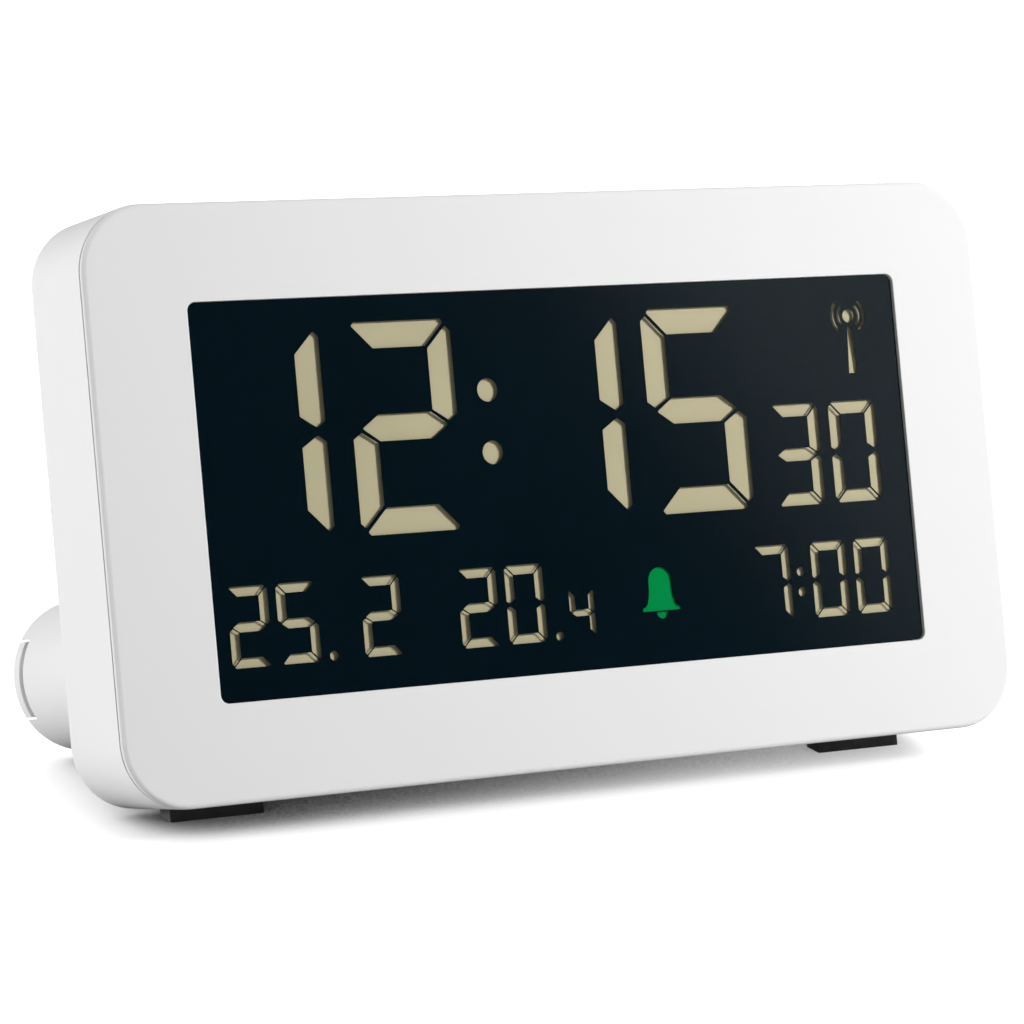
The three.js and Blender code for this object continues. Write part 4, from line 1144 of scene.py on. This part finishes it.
# How light the floor is, by the share of the sky that it sees
SHADOW_CURVE = (
    (0, 0), (0.05, 0.03), (0.08, 0.13), (0.13, 0.38), (0.2, 0.6), (0.32, 0.72), (0.5, 0.88), (1, 1),
)
WORLD_LIGHT = 0.19
# Painted light and shade on the floor: lighter on the key lamp's side, darker on the far side
PAINTED_KEY_SIDE = (-75, 75)  # range along x, in mm, over which painted key light is added to the sky share
PAINTED_KEY_SHARE = (-0.05, 0.13)
MIRROR_SLANT = 0.45  # slant of the edge between the studio's dim and bright parts
MIRROR_EDGE = (0.67, 0.708)
MIRROR_FRONT = (-0.25, -0.6)
LAMP_TARGET = (0, 0, 0.04)
LAMPS = {  # place and width in metres, and power in watts
    "left_lamp": ((-0.88, 0.2, 0.09), 0.3, 7.2),
    "key_lamp": ((0.475, -0.475, 0.4275), 0.14, 5.9),
    "rear_lamp": ((0.45, 0.9, 0.3), 0.5, 6.8),
}


def add_floor():
    half = FLOOR_SIZE / 2
    corners = [(-half, -half, 0), (half, -half, 0), (half, half, 0), (-half, half, 0)]
    mesh = bpy.data.meshes.new("floor")
    mesh.from_pydata(corners, [], [(0, 1, 2, 3)])
    floor = bpy.data.objects.new("floor", mesh)
    bpy.context.scene.collection.objects.link(floor)
    material, tree = new_material("floor_white")
    vector = coordinates(tree)
    tone_low, tone_high = (FLOOR_TONE,) * 3, (FLOOR_TONE + 0.01,) * 3
    base = blend(tree, noise(tree, vector, 0.02, 0, 1), tone_low, tone_high)
    # The clock's own soft shadow: the floor darkens where the clock hides the sky.
    sky = add_node(tree, "ShaderNodeAmbientOcclusion", {"Distance": SHADOW_REACH}, samples=16)
    open_share = add_node(tree, "ShaderNodeValToRGB")
    stops = open_share.color_ramp.elements
    for index, (place, light) in enumerate(SHADOW_CURVE):
        stop = stops[index] if index < 2 else stops.new(place)
        stop.position = place
        stop.color = (light, light, light, 1)
    # Painted light and shade: the floor is made a little lighter towards the key lamp's side and a
    # little darker on the far side, in place of the key lamp's own light.
    painted_key_light = mapped(tree, component(tree, vector, "X"), PAINTED_KEY_SIDE, PAINTED_KEY_SHARE)
    link(tree, compute(tree, "ADD", sky.outputs["AO"], painted_key_light), open_share.inputs["Fac"])
    shade = open_share.outputs["Color"]
    matte = add_node(tree, "ShaderNodeBsdfDiffuse")
    link(tree, blend(tree, shade, (0.0, 0.0, 0.0), base), matte.inputs["Color"])
    glow = add_node(tree, "ShaderNodeEmission", {"Color": (1, 1, 1, 1)})
    level = compute(tree, "MULTIPLY", seen_share(tree), FLOOR_GLOW)
    link(tree, compute(tree, "MULTIPLY", level, shade), glow.inputs["Strength"])
    both = add_node(tree, "ShaderNodeAddShader")
    output = add_node(tree, "ShaderNodeOutputMaterial")
    link(tree, matte.outputs["BSDF"], both.inputs[0])
    link(tree, glow.outputs["Emission"], both.inputs[1])
    link(tree, both.outputs["Shader"], output.inputs["Surface"])
    mesh.materials.append(material)


def add_world():
    """White to look at, and a softer even light on the object."""
    world = bpy.data.worlds.new("studio")
    world.use_nodes = True
    tree = world.node_tree
    tree.nodes.clear()
    direction = add_node(tree, "ShaderNodeTexCoord").outputs["Generated"]
    x, y, z = (component(tree, direction, name) for name in "XYZ")
    # The studio is dim on the side that the window mirrors, and brightens towards the upper right.
    front = mapped(tree, y, MIRROR_FRONT)
    across = compute(tree, "MULTIPLY_ADD", z, MIRROR_SLANT, x)
    left = mapped(tree, across, MIRROR_EDGE[::-1], interpolation_type="SMOOTHSTEP")
    shown = mapped(tree, compute(tree, "MULTIPLY", front, left), (0, 1), (1, 0))
    path = add_node(tree, "ShaderNodeLightPath").outputs
    white = compute(tree, "MAXIMUM", shown, path["Is Camera Ray"])
    strength = add_node(tree, "ShaderNodeMix")
    link(tree, seen_share(tree), strength.inputs[0])
    strength.inputs[2].default_value = WORLD_LIGHT
    link(tree, white, strength.inputs[3])
    background = add_node(tree, "ShaderNodeBackground", {"Color": (1, 1, 1, 1)})
    output = add_node(tree, "ShaderNodeOutputWorld")
    link(tree, strength.outputs[0], background.inputs["Strength"])
    link(tree, background.outputs["Background"], output.inputs["Surface"])
    bpy.context.scene.world = world


add_camera()
add_floor()
add_world()
for name, (place, width, power) in LAMPS.items():
    add_lamp(name, place, width, power)

bpy.context.scene.view_settings.view_transform = "Standard"
